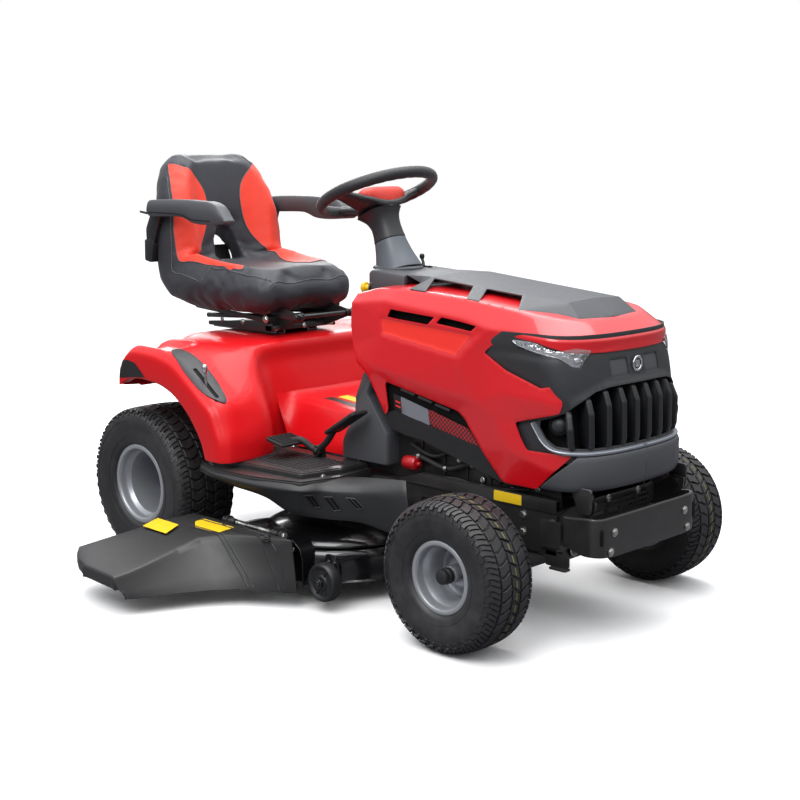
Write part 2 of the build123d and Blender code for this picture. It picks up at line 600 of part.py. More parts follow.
def throttle_lever():
    stem = rod((640, 70, 845), (625, 70, 890), 3)
    grip = rod((626, 70, 886), (618, 70, 908), 7)
    hub = rod((640, 62, 845), (640, 78, 845), 8)
    return stem + grip + hub - rod((640, 55, 845), (640, 85, 845), 2.5 + RUN)


def ignition_key():
    """Key in the dash's rear face: a shank and a flat bow, along the lock's axis."""
    shank = rod((536, 70, 815), (580, 70, 815), 3)
    bow = block(514, 537, 68.5, 71.5, 803, 827)
    return shank + bow


def blade_knob():
    """Pull knob of the blade switch, in the dash's rear face."""
    stem = rod((562, -84, 815), (600, -84, 815), 5)
    cap = rod((546, -84, 815), (562, -84, 815), 15)
    return stem + cap


# ---- cutting deck ----
def capsule(radius, z0, z1):
    """Plan shape round the two blade circles."""
    ends = both(Pos(DECK_X, -BLADE_Y, (z0 + z1) / 2) * Cylinder(radius, z1 - z0))
    return ends + block(DECK_X - radius * 0.82, DECK_X + radius * 0.82, -BLADE_Y, BLADE_Y, z0, z1)


def deck_shell():
    """Pressed deck, open below, with a discharge tunnel on the right and brackets for wheels and chute."""
    wall = 3.0
    outer = capsule(DECK_R, DECK_FLOOR, DECK_Z)
    outer = fillet(outer.edges().group_by(Axis.Z)[-1], 18)
    duct = block(396, 646, CHUTE_Y + 4, -BLADE_Y, DECK_FLOOR, 158)
    shell = outer + duct - capsule(DECK_R - wall, DECK_FLOOR - 10, DECK_Z - wall)
    shell -= block(396 + wall, 646 - wall, CHUTE_Y, -BLADE_Y + 30, DECK_FLOOR - 10, 158 - wall)
    for side in (-1, 1):
        plate = block(738, 786, side * GAUGE_Y - 25 * side - 3, side * GAUGE_Y - 25 * side + 3, 66, 140)
        strut = block(740, 784, min(side * 330, side * 417), max(side * 330, side * 417), 128, 140)
        pin = rod((GAUGE_X, side * (GAUGE_Y - 26), GAUGE_Z), (GAUGE_X, side * (GAUGE_Y + 24), GAUGE_Z), 8)
        shell = shell + plate + strut + pin
    for x0 in (404, 630):
        ear = block(x0, x0 + 6, CHUTE_Y - 8, CHUTE_Y + 30, 150, CHUTE_Z + 8)
        shell += ear
    shell += rod((400, CHUTE_Y, CHUTE_Z), (642, CHUTE_Y, CHUTE_Z), CHUTE_ROD_R)
    for side in (-1, 1):
        shell += Pos(DECK_X, side * BLADE_Y, 150) * Cylinder(34, 30)
        shell -= Pos(DECK_X, side * BLADE_Y, 150) * Cylinder(12.5 + RUN, 60)
    return shell


def blade():
    """Right spindle with its blade below and its pulley above the deck."""
    bar = Rot(0, 0, 20) * Box(2 * BLADE_R, 58, 4)
    spindle = Pos(0, 0, 50) * Cylinder(12.5, 112)
    nut = Pos(0, 0, -6) * Cylinder(16, 8)
    pulley = Pos(0, 0, 102) * Cylinder(68, 16)
    groove = Pos(0, 0, 102) * (Cylinder(72, 8) - Cylinder(58, 8))
    return Pos(DECK_X, -BLADE_Y, 78) * (bar + spindle + nut + pulley - groove)


def gauge_wheel():
    profile = [(8 + RUN, -20), (20, -20), (24, -15), (GAUGE_R - 8, -18), (GAUGE_R, -12), (GAUGE_R, 12),
               (GAUGE_R - 8, 18), (24, 15), (20, 20), (8 + RUN, 20)]
    return spin_y(profile, GAUGE_X, -GAUGE_Y, GAUGE_Z)


def chute():
    """Flared discharge chute: a sloping top, a front wall and hinge knuckles on the deck's rod."""
    plan = [(412, -489), (646, -489), (646, -524), (428, -826), (378, -852), (240, -838), (118, -778),
            (253, -506), (400, -500)]
    top = plate_xy(plan, CHUTE_Z - 2, CHUTE_Z + 2)
    tilt = Pos(0, CHUTE_Y, CHUTE_Z) * Rot(CHUTE_SLOPE, 0, 0) * Pos(0, -CHUTE_Y, -CHUTE_Z)
    front = plate_xy([(640, -490), (646, -490), (646, -524), (428, -826), (378, -852), (378, -845),
                      (424, -821), (640, -521)], 46, CHUTE_Z + 20)
    above = tilt * block(0, 800, -1000, -400, CHUTE_Z, CHUTE_Z + 300)
    shape = tilt * top + (front - above)
    for x0 in (416, 596):
        barrel = rod((x0, CHUTE_Y, CHUTE_Z), (x0 + 26, CHUTE_Y, CHUTE_Z), 9)
        shape += barrel + block(x0, x0 + 26, CHUTE_Y - 14, CHUTE_Y, CHUTE_Z - 6, CHUTE_Z + 1)
    return shape - rod((380, CHUTE_Y, CHUTE_Z), (660, CHUTE_Y, CHUTE_Z), CHUTE_ROD_R + RUN)


# ---- writing every piece ----
def main():
    wheels()
    save(rail(), "frame_rail_right")
    save(left_of(rail()), "frame_rail_left")
    save(cross_members(), "cross_members")
    save(hitch_plate(), "hitch_plate")
    save(front_bumper(), "front_bumper")
    save(bumper_bolts(), "bumper_bolts")
    save(muffler_guard(), "muffler_guard")
    save(axle_pin(), "axle_pin")
    save(engine(), "engine")
    save(muffler(), "muffler")
    save(fuel_tank(), "fuel_tank")
    save(transaxle(), "transaxle")
    save(rear_fender(), "rear_fender")
    save(lever_plate(), "lever_plate")
    foot_boards()
    save(console(), "console")
    lower, upper = column_covers()
    save(lower, "column_cone")
    save(upper, "column_collar")
    wheel, shaft = steering()
    save(wheel, "steering_wheel")
    save(shaft, "steering_shaft")
    save(front_axle(), "front_axle")
    save(knuckle(), "knuckle_right")
    save(left_of(knuckle()), "knuckle_left")
    save(tie_rod(), "tie_rod")
    save(hood_shell(), "hood_shell")
    save(hood_cover(), "hood_cover")
    fascia, grille, lamps = nose_pieces()
    save(fascia, "hood_fascia")
    save(grille, "grille")
    save(lamps, "headlamps")
    save(bumper_band(), "bumper_band")
    save(seat_rails(), "seat_rails")
    save(seat_slide(), "seat_slide")
    save(Compound([seat_pan() + armrest_brackets() + left_of(armrest_brackets())]), "seat_pan")
    save(seat_cushion(), "seat_cushion")
    save(seat_back(), "seat_back")
    save(armrest(), "armrest_right")
    save(left_of(armrest()), "armrest_left")
    save(drive_pedal(), "drive_pedal")
    save(brake_pedal(), "brake_pedal")
    save(lift_lever(), "lift_lever")
    save(throttle_lever(), "throttle_lever")
    save(ignition_key(), "ignition_key")
    save(blade_knob(), "blade_knob")
    save(deck_shell(), "deck_shell")
    save(blade(), "blade_right")
    save(left_of(blade()), "blade_left")
    save(gauge_wheel(), "gauge_wheel_right")
    save(left_of(gauge_wheel()), "gauge_wheel_left")
    save(chute(), "chute")


main()
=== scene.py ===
"""Riding lawn mower: the visual model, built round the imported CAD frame."""
import json
import math
import bmesh
import bpy
from mathutils import Matrix, Vector
from mathutils.bvhtree import BVHTree
from mathutils.geometry import delaunay_2d_cdt
from mathutils.kdtree import KDTree


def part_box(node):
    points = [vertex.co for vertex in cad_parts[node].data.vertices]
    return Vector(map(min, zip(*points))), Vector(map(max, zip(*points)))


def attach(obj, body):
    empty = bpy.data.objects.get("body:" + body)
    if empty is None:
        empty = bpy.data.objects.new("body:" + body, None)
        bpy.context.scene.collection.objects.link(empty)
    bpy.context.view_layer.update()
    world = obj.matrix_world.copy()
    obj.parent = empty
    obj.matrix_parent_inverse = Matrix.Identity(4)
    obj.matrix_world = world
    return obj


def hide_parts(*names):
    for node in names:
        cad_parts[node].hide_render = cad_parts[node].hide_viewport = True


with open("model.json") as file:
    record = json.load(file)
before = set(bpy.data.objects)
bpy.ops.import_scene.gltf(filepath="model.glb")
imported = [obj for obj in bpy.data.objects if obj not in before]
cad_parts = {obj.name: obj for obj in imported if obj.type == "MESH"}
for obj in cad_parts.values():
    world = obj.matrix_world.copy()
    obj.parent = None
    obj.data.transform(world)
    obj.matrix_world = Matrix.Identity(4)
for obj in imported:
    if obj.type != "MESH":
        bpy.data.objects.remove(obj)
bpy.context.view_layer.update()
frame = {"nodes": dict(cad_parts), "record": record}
NODES = frame["nodes"]

# Pieces are drawn in the tractor's own millimetres: x forward from the rear axle, y left, z up.
REAR_RIGHT, REAR_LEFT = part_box("rear_tyre_right"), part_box("rear_tyre_left")
ORIGIN_X = (REAR_RIGHT[0].x + REAR_RIGHT[1].x) / 2
ORIGIN_Y = (REAR_RIGHT[0].y + REAR_LEFT[1].y) / 2


def at(x, y, z):
    """A point of the tractor, in metres in the row frame."""
    return Vector((ORIGIN_X + x / 1000, ORIGIN_Y + y / 1000, z / 1000))


def mix(a, b, t):
    return a + (b - a) * t


def clamp(t, low=0.0, high=1.0):
    return max(low, min(high, t))


def smooth(t):
    t = clamp(t)
    return t * t * (3 - 2 * t)


def table(rows, u):
    """Value at u in rows of (u, value), straight between the rows."""
    if u <= rows[0][0]:
        return rows[0][1]
    for (u0, v0), (u1, v1) in zip(rows, rows[1:]):
        if u <= u1:
            return mix(v0, v1, (u - u0) / (u1 - u0))
    return rows[-1][1]


def turned(point, centre, angle, axis="Y"):
    """A point turned about an axis through a centre, in degrees."""
    spin = Matrix.Rotation(math.radians(angle), 3, axis)
    return tuple(spin @ (Vector(point) - Vector(centre)) + Vector(centre))


# ---- materials ----
def srgb(r, g, b):
    """Linear colour from 0..255 screen values."""
    values = [c / 255 for c in (r, g, b)]
    return tuple(v / 12.92 if v <= 0.04045 else ((v + 0.055) / 1.055) ** 2.4 for v in values) + (1.0,)


def shade(colour, factor):
    return tuple(clamp(c * factor) for c in colour[:3]) + (1.0,)


class Nodes:
    """A material's node tree, with short calls for the nodes that the finishes share."""

    def __init__(self, name):
        self.material = bpy.data.materials.new(name)
        self.material.use_nodes = True
        self.tree = self.material.node_tree
        self.bsdf = self.tree.nodes["Principled BSDF"]
        self.place = self.add("ShaderNodeTexCoord").outputs["Object"]

    def add(self, kind, **settings):
        node = self.tree.nodes.new(kind)
        for key, value in settings.items():
            setattr(node, key, value)
        return node

    def link(self, a, b):
        self.tree.links.new(a, b)

    def noise(self, scale, detail=3.0, rough=0.55, stretch=None):
        node = self.add("ShaderNodeTexNoise")
        node.inputs["Scale"].default_value = scale
        node.inputs["Detail"].default_value = detail
        node.inputs["Roughness"].default_value = rough
        self.link(self.stretched(stretch), node.inputs["Vector"])
        return node.outputs["Fac"]

    def stretched(self, stretch):
        if not stretch:
            return self.place
        node = self.add("ShaderNodeMapping")
        node.inputs["Scale"].default_value = stretch
        self.link(self.place, node.inputs["Vector"])
        return node.outputs["Vector"]

    def cells(self, scale, feature="F1"):
        node = self.add("ShaderNodeTexVoronoi", feature=feature)
        node.inputs["Scale"].default_value = scale
        self.link(self.place, node.inputs["Vector"])
        return node.outputs["Distance"]

    def ramp(self, value, stops):
        node = self.add("ShaderNodeValToRGB")
        ramp = node.color_ramp
        while len(ramp.elements) < len(stops):
            ramp.elements.new(0.5)
        for element, (spot, colour) in zip(ramp.elements, stops):
            element.position = spot
            element.color = colour
        self.link(value, node.inputs["Fac"])
        return node.outputs["Color"]

    def between(self, value, low, high):
        node = self.add("ShaderNodeMapRange")
        node.inputs["To Min"].default_value = low
        node.inputs["To Max"].default_value = high
        self.link(value, node.inputs["Value"])
        return node.outputs["Result"]

    def maths(self, operation, a, b):
        node = self.add("ShaderNodeMath", operation=operation)
        for socket, value in zip(node.inputs, (a, b)):
            if isinstance(value, (int, float)):
                socket.default_value = value
            else:
                self.link(value, socket)
        return node.outputs[0]

    def bump(self, height, strength, distance=0.001, under=None):
        node = self.add("ShaderNodeBump")
        node.inputs["Strength"].default_value = strength
        node.inputs["Distance"].default_value = distance
        self.link(height, node.inputs["Height"])
        if under:
            self.link(under, node.inputs["Normal"])
        return node.outputs["Normal"]

    def set(self, **values):
        for key, value in values.items():
            self.bsdf.inputs[key.replace("_", " ")].default_value = value


def finish(name, colour, rough=0.5, spread=0.08, mottle=4.0, grain=900.0, depth=0.15, metal=0.0,
           coat=0.0, specular=0.5, wave=0.0, sheen=0.0, dust=0.0):
    """Painted, moulded or metal surface: uneven colour and gloss, a fine grain and a little dust."""
    m = Nodes(name)
    broad = m.noise(mottle, 5.0)
    tint = m.ramp(broad, [(0.3, shade(colour, 1 - spread)), (0.7, shade(colour, 1 + spread))])
    if dust:
        low = m.add("ShaderNodeSeparateXYZ")
        m.link(m.place, low.inputs[0])
        height = m.between(low.outputs["Z"], 1.0, 0.0)
        amount = m.maths("MULTIPLY", m.maths("MULTIPLY", height, m.noise(22.0, 6.0)), dust)
        blend = m.add("ShaderNodeMix", data_type="RGBA")
        m.link(amount, blend.inputs["Factor"])
        m.link(tint, blend.inputs["A"])
        blend.inputs["B"].default_value = srgb(150, 142, 130)
        tint = blend.outputs["Result"]
    m.link(tint, m.bsdf.inputs["Base Color"])
    m.link(m.between(m.noise(mottle * 9, 4.0), rough * 0.85, min(1.0, rough * 1.15)),
           m.bsdf.inputs["Roughness"])
    normal = m.bump(m.noise(grain, 2.0), depth)
    if wave:
        normal = m.bump(m.noise(9.0, 1.0), wave, 0.004, normal)
    m.link(normal, m.bsdf.inputs["Normal"])
    m.set(Metallic=metal, Coat_Weight=coat, Coat_Roughness=0.08, Specular_IOR_Level=specular,
          Sheen_Weight=sheen)
    return m.material


RED = srgb(205, 14, 26)
MAT = {
    "red_plastic": finish("red_plastic", RED, 0.30, 0.05, 3.0, 1400.0, 0.03, coat=0.7, wave=0.03),
    "red_fender": finish("red_fender", srgb(208, 16, 24), 0.36, 0.05, 3.0, 1400.0, 0.03, coat=0.15,
                         specular=0.25, wave=0.05),
    # Lighter red: a painted highlight on the hood side's recessed facet, and the print of the red lines on the
    # window strip.
    "red_flash": finish("red_flash", srgb(232, 44, 32), 0.32, 0.04, 3.0, 1400.0, 0.03, coat=0.6),
    # Darker red: the fuel filter's own colour, and painted shade on the floors of the fender trays.
    "red_dark": finish("red_dark", srgb(176, 16, 26), 0.34, 0.05, 3.0, 1400.0, 0.03, coat=0.5),
    "grey_plastic": finish("grey_plastic", srgb(70, 72, 76), 0.52, 0.06, 6.0, 700.0, 0.22),
    "deck_paint": finish("deck_paint", srgb(15, 15, 17), 0.22, 0.06, 5.0, 300.0, 0.12, coat=0.6),
    "chute_plastic": finish("chute_plastic", srgb(27, 27, 28), 0.5, 0.08, 5.0, 500.0, 0.3, specular=0.75),
    "pad_red": finish("pad_red", srgb(206, 62, 52), 0.42, 0.08, 6.0, 700.0, 0.2),
    "dark_plastic": finish("dark_plastic", srgb(44, 45, 48), 0.46, 0.08, 6.0, 700.0, 0.2),
    "black_plastic": finish("black_plastic", srgb(30, 31, 33), 0.44, 0.10, 8.0, 700.0, 0.2),
    "black_steel": finish("black_steel", srgb(24, 25, 27), 0.36, 0.12, 10.0, 260.0, 0.12, coat=0.25,
                          dust=0.10),
    "cone_plastic": finish("cone_plastic", srgb(84, 90, 98), 0.40, 0.05, 6.0, 900.0, 0.10),
    # Darker silver: painted shade on the deep disc and hub of the rear rims.
    "rim_painted_shade": finish("rim_painted_shade", srgb(92, 97, 108), 0.42, 0.05, 9.0, 420.0, 0.10, metal=0.5),
    "silver_paint": finish("silver_paint", srgb(168, 171, 176), 0.36, 0.05, 9.0, 420.0, 0.10, metal=0.55,
                           coat=0.2, dust=0.12),
    "zinc": finish("zinc", srgb(190, 190, 186), 0.30, 0.10, 30.0, 300.0, 0.15, metal=1.0),
    "steel": finish("steel", srgb(150, 150, 152), 0.34, 0.12, 24.0, 300.0, 0.15, metal=1.0),
    "chrome": finish("chrome", srgb(225, 227, 230), 0.10, 0.03, 20.0, 300.0, 0.03, metal=1.0),
    "trim_silver": finish("trim_silver", srgb(150, 155, 163), 0.34, 0.05, 12.0, 500.0, 0.06, metal=0.6),
    "aluminium": finish("aluminium", srgb(136, 138, 140), 0.55, 0.12, 18.0, 160.0, 0.5, metal=0.8, dust=0.2),
    "tank": finish("tank", srgb(205, 200, 186), 0.5, 0.05, 8.0, 300.0, 0.15),
    "yellow_plastic": finish("yellow_plastic", srgb(238, 190, 20), 0.40, 0.05, 14.0, 500.0, 0.10),
    "label_yellow": finish("label_yellow", srgb(240, 200, 30), 0.42, 0.04, 30.0, 900.0, 0.04),
    "label_white": finish("label_white", srgb(228, 228, 224), 0.42, 0.03, 30.0, 900.0, 0.04),
    "label_black": finish("label_black", srgb(26, 26, 28), 0.40, 0.08, 30.0, 900.0, 0.04),
    "rubber": finish("rubber", srgb(28, 28, 30), 0.62, 0.14, 12.0, 500.0, 0.35),
    "grip": finish("grip", srgb(31, 32, 35), 0.50, 0.10, 12.0, 520.0, 0.45, sheen=0.1),
    # Near-black: the own colour of dark joints, seams and the fog lamp cups, and painted shade in vents, slots
    # and recesses where there is only shade.
    "void": finish("void", srgb(9, 9, 10), 0.7, 0.2, 10.0, 300.0, 0.2, specular=0.2),
}


def tyre_rubber():
    """Black rubber: bluish sheen, moulding grain and dust in the pores."""
    m = Nodes("tyre")
    dusty = m.maths("MULTIPLY", m.noise(30.0, 8.0, 0.65), m.noise(4.0, 3.0))
    tint = m.ramp(dusty, [(0.18, srgb(24, 24, 26)), (0.42, srgb(50, 50, 52))])
    m.link(tint, m.bsdf.inputs["Base Color"])
    m.link(m.between(m.noise(60.0, 4.0), 0.40, 0.60), m.bsdf.inputs["Roughness"])
    m.link(m.bump(m.noise(420.0, 3.0), 0.35, 0.0008), m.bsdf.inputs["Normal"])
    m.set(Specular_IOR_Level=0.62)
    return m.material


def vinyl(name, colour, spread=0.06):
    """Coated seat fabric: a pebbled grain of small cells over broad soft creases."""
    m = Nodes(name)
    tint = m.ramp(m.noise(14.0, 6.0), [(0.3, shade(colour, 1 - spread)), (0.7, shade(colour, 1 + spread))])
    m.link(tint, m.bsdf.inputs["Base Color"])
    m.link(m.between(m.noise(40.0, 4.0), 0.44, 0.60), m.bsdf.inputs["Roughness"])
    pebble = m.bump(m.cells(420.0), 0.45, 0.0009)
    m.link(m.bump(m.noise(26.0, 4.0), 0.22, 0.003, pebble), m.bsdf.inputs["Normal"])
    m.set(Specular_IOR_Level=0.45, Sheen_Weight=0.12, Sheen_Roughness=0.4)
    return m.material


def clear_lens():
    m = Nodes("lens")
    m.link(m.bump(m.noise(40.0, 1.0), 0.04), m.bsdf.inputs["Normal"])
    tint = m.ramp(m.noise(6.0), [(0.3, srgb(244, 247, 250)), (0.7, srgb(255, 255, 255))])
    m.link(tint, m.bsdf.inputs["Base Color"])
    m.set(Transmission_Weight=0.92, Roughness=0.04, IOR=1.46)
    return m.material


def mesh_print(name, colour, other, scale):
    """Printed film with a small checked pattern."""
    m = Nodes(name)
    check = m.add("ShaderNodeTexChecker")
    check.inputs["Scale"].default_value = scale
    check.inputs["Color1"].default_value = colour
    check.inputs["Color2"].default_value = other
    m.link(m.place, check.inputs["Vector"])
    m.link(check.outputs["Color"], m.bsdf.inputs["Base Color"])
    m.link(m.between(m.noise(50.0), 0.26, 0.4), m.bsdf.inputs["Roughness"])
    return m.material


MAT["tyre"] = tyre_rubber()
MAT["tyre_mark"] = finish("tyre_mark", srgb(134, 128, 62), 0.7, 0.25, 40.0, 500.0, 0.3)
MAT["vinyl_dark"] = vinyl("vinyl_dark", srgb(45, 47, 53))
MAT["vinyl_red"] = vinyl("vinyl_red", srgb(222, 58, 38))
MAT["lens"] = clear_lens()
MAT["check_film"] = mesh_print("check_film", srgb(36, 36, 40), srgb(168, 34, 38), 160.0)
MAT["thread"] = finish("thread", srgb(92, 94, 98), 0.8, 0.1, 40.0, 2000.0, 0.5)


def repaint_cad():
    """Every CAD node takes the procedural finish of its slot."""
    for entry in frame["record"]["subparts"]:
        data = NODES[entry["node"]].data
        data.materials.clear()
        data.materials.append(MAT[entry["material_slot"]])


# ---- mesh builders: each returns (points in tractor millimetres, faces) ----
def mirrored(mesh):
    """The same mesh on the left side."""
    points, faces = mesh
    return [(x, -y, z) for x, y, z in points], [tuple(reversed(f)) for f in faces]


def joined(*meshes):
    points, faces = [], []
    for more, loops in meshes:
        start = len(points)
        points += more
        faces += [tuple(i + start for i in f) for f in loops]
    return points, faces


def both(mesh):
    return joined(mesh, mirrored(mesh))


def rounded(corners, radius=0.0, steps=4):
    """Closed 2-D outline with its corners rounded; a corner (u, v, r) has its own radius."""
    out, count = [], len(corners)
    for i in range(count):
        here = Vector(corners[i][:2])
        r = corners[i][2] if len(corners[i]) > 2 else radius
        before = Vector(corners[i - 1][:2]) - here
        after = Vector(corners[(i + 1) % count][:2]) - here
        reach = min(r, before.length * 0.48, after.length * 0.48)
        if reach < 0.3:
            out.append(tuple(here))
            continue
        a, b = here + before.normalized() * reach, here + after.normalized() * reach
        for k in range(steps + 1):
            t = k / steps
            out.append(tuple(a * (1 - t) ** 2 + here * 2 * t * (1 - t) + b * t * t))
    return out


def divided(loop, spacing, closed=True):
    """The same line with points no further apart than the spacing."""
    out = []
    pairs = list(zip(loop, loop[1:] + loop[:1])) if closed else list(zip(loop, loop[1:]))
    for a, b in pairs:
        steps = max(1, math.ceil(math.dist(a, b) / spacing))
        out += [(mix(a[0], b[0], k / steps), mix(a[1], b[1], k / steps)) for k in range(steps)]
    return out if closed else out + [tuple(loop[-1][:2])]


def inside(point, loop):
    x, y = point
    hit = False
    for (x0, y0), (x1, y1) in zip(loop, loop[1:] + loop[:1]):
        if (y0 > y) != (y1 > y) and x < (x1 - x0) * (y - y0) / (y1 - y0) + x0:
            hit = not hit
    return hit


def relief(lines):
    """Height over a plane, straight between design lines of (u, v, height)."""
    points, heights, edges = [], [], []
    for line in lines:
        for k, (u, v, h) in enumerate(line):
            points.append(Vector((u, v)))
            heights.append(h)
            if k:
                edges.append((len(points) - 2, len(points) - 1))
    flat, _, faces, origins, _, _ = delaunay_2d_cdt(points, edges, [], 0, 0.001)
    solid = []
    for spot, source in zip(flat, origins):
        solid.append(Vector((spot.x, spot.y, heights[source[0]] if source else 0.0)))
    tree = BVHTree.FromPolygons(solid, [tuple(f) for f in faces])

    def height(u, v):
        hit = tree.ray_cast(Vector((u, v, 900.0)), Vector((0.0, 0.0, -1.0)))[0]
        if hit is None:
            hit = tree.find_nearest(Vector((u, v, 0.0)))[0]
        return hit.z
    return height


def sheet(outline, place, holes=(), lines=(), spacing=10.0, soften=0):
    """Skin over an outline with holes: a fine mesh in (u, v), carried into space by place(u, v)."""
    loops = [divided(loop, spacing) for loop in [outline, *holes]]
    points, edges = [], []
    for loop in loops:
        start = len(points)
        points += loop
        edges += [(start + k, start + (k + 1) % len(loop)) for k in range(len(loop))]
    for line in lines:
        more = divided([tuple(p[:2]) for p in line], spacing, closed=False)
        start = len(points)
        points += more
        edges += [(start + k, start + k + 1) for k in range(len(more) - 1)]
    taken = {}
    for u, v in points:
        taken.setdefault((round(u / spacing), round(v / spacing)), []).append((u, v))
    low_u, high_u = min(p[0] for p in loops[0]), max(p[0] for p in loops[0])
    low_v, high_v = min(p[1] for p in loops[0]), max(p[1] for p in loops[0])
    row, v = 0, low_v
    while v < high_v:
        u = low_u + (spacing / 2 if row % 2 else 0.0)
        while u < high_u:
            key = (round(u / spacing), round(v / spacing))
            near = [p for du in (-1, 0, 1) for dv in (-1, 0, 1)
                    for p in taken.get((key[0] + du, key[1] + dv), ())]
            if all(math.dist(p, (u, v)) > spacing * 0.6 for p in near):
                if inside((u, v), loops[0]) and not any(inside((u, v), hole) for hole in loops[1:]):
                    points.append((u, v))
            u += spacing
        v += spacing * 0.866
        row += 1
    flat, _, faces, _, _, _ = delaunay_2d_cdt([Vector(p) for p in points], edges, [], 0, 0.0001)
    kept = []
    for face in faces:
        middle = sum((flat[i] for i in face), Vector((0.0, 0.0))) / len(face)
        if inside(middle, loops[0]) and not any(inside(middle, hole) for hole in loops[1:]):
            kept.append(tuple(face))
    used = sorted({i for f in kept for i in f})
    order = {i: k for k, i in enumerate(used)}
    faces = [tuple(order[i] for i in f) for f in kept]
    space = [Vector(place(*flat[i])) for i in used]
    for _ in range(soften):
        space = relaxed(space, faces)
    return [tuple(p) for p in space], faces


def relaxed(space, faces):
    """Each inner point half way towards the middle of its neighbours; border points stay."""
    near, edges = {}, {}
    for face in faces:
        for a, b in zip(face, face[1:] + face[:1]):
            near.setdefault(a, set()).add(b)
            near.setdefault(b, set()).add(a)
            key = (min(a, b), max(a, b))
            edges[key] = edges.get(key, 0) + 1
    border = {i for pair, uses in edges.items() if uses == 1 for i in pair}
    out = list(space)
    for i, others in near.items():
        if i not in border:
            out[i] = mix(space[i], sum((space[k] for k in others), Vector()) / len(others), 0.5)
    return out


def loft(rings, caps=True, closed=True):
    """Skin through rings of equally many points."""
    count = len(rings[0])
    points = [tuple(p) for ring in rings for p in ring]
    faces = []
    for r in range(len(rings) - 1):
        for k in range(count if closed else count - 1):
            a, b = r * count + k, r * count + (k + 1) % count
            faces.append((a, b, b + count, a + count))
    if caps and closed:
        faces.append(tuple(reversed(range(count))))
        faces.append(tuple(range((len(rings) - 1) * count, len(rings) * count)))
    return points, faces


def slab(outline, low, high, axis="z", place=None):
    """Outline drawn out along an axis from low to high; (u, v) is (x, y), (x, z) or (y, z)."""
    order = {"z": lambda u, v, w: (u, v, w), "y": lambda u, v, w: (u, w, v),
             "x": lambda u, v, w: (w, u, v)}[axis]
    put = place or order
    return loft([[put(u, v, w) for u, v in outline] for w in (low, high)])


def revolve(profile, centre, axis="y", steps=48, closed=True):
    """Profile of (radius, along) turned round an axis through the centre; closed joins its ends."""
    rings = []
    for k in range(steps):
        turn = 2 * math.pi * k / steps
        c, s = math.cos(turn), math.sin(turn)
        ring = []
        for radius, along in profile:
            offset = {"y": (radius * c, along, radius * s), "z": (radius * c, radius * s, along),
                      "x": (along, radius * c, radius * s)}[axis]
            ring.append(tuple(centre[i] + offset[i] for i in range(3)))
        rings.append(ring)
    points, faces = loft(rings + rings[:1], caps=False, closed=closed)
    total = len(rings) * len(profile)
    return points[:total], [tuple(i % total for i in f) for f in faces]


def aimed(mesh, centre, direction):
    """Mesh drawn with its axis along +z at the origin, set at a centre and facing a direction."""
    spin = Vector(direction).normalized().to_track_quat("Z", "Y").to_matrix()
    return [tuple(spin @ Vector(p) + Vector(centre)) for p in mesh[0]], mesh[1]


def tube(path, radius, steps=12, caps=True):
    """Round bar along a path; radius is one number or one for each point."""
    path = [Vector(p) for p in path]
    rings, side = [], None
    for i, here in enumerate(path):
        ahead = (path[min(i + 1, len(path) - 1)] - path[max(i - 1, 0)]).normalized()
        if side is None:
            side = ahead.orthogonal().normalized()
        side = (side - ahead * side.dot(ahead)).normalized()
        other = ahead.cross(side)
        r = radius[i] if isinstance(radius, (list, tuple)) else radius
        rings.append([tuple(here + r * (math.cos(t) * side + math.sin(t) * other))
                      for t in (2 * math.pi * k / steps for k in range(steps))])
    return loft(rings, caps=caps)


def curve(points, steps=8):
    """Smooth open line through points."""
    p = [Vector(q) for q in points]
    p = [2 * p[0] - p[1]] + p + [2 * p[-1] - p[-2]]
    out = []
    for i in range(1, len(p) - 2):
        for k in range(steps):
            t = k / steps
            a, b, c, d = p[i - 1], p[i], p[i + 1], p[i + 2]
            out.append(0.5 * ((2 * b) + (c - a) * t + (2 * a - 5 * b + 4 * c - d) * t * t
                              + (3 * b - 3 * c + d - a) * t ** 3))
    return [tuple(q) for q in out] + [tuple(p[-2])]


def bolt(centre, direction, radius=7.0, height=5.0):
    """Hexagon head with a round flange and a chamfered top."""
    flange = revolve([(0.0, 0.0), (radius * 1.35, 0.0), (radius * 1.35, 0.8), (radius * 1.15, 1.6),
                      (0.0, 1.6)],
                     (0, 0, 0), "z", 20)
    rings = []
    for z, r in ((1.0, 1.0), (height * 0.8, 1.0), (height, 0.86)):
        rings.append([(radius * r * math.cos(math.pi / 3 * k), radius * r * math.sin(math.pi / 3 * k), z)
                      for k in range(6)])
    return aimed(joined(flange, loft(rings)), centre, direction)


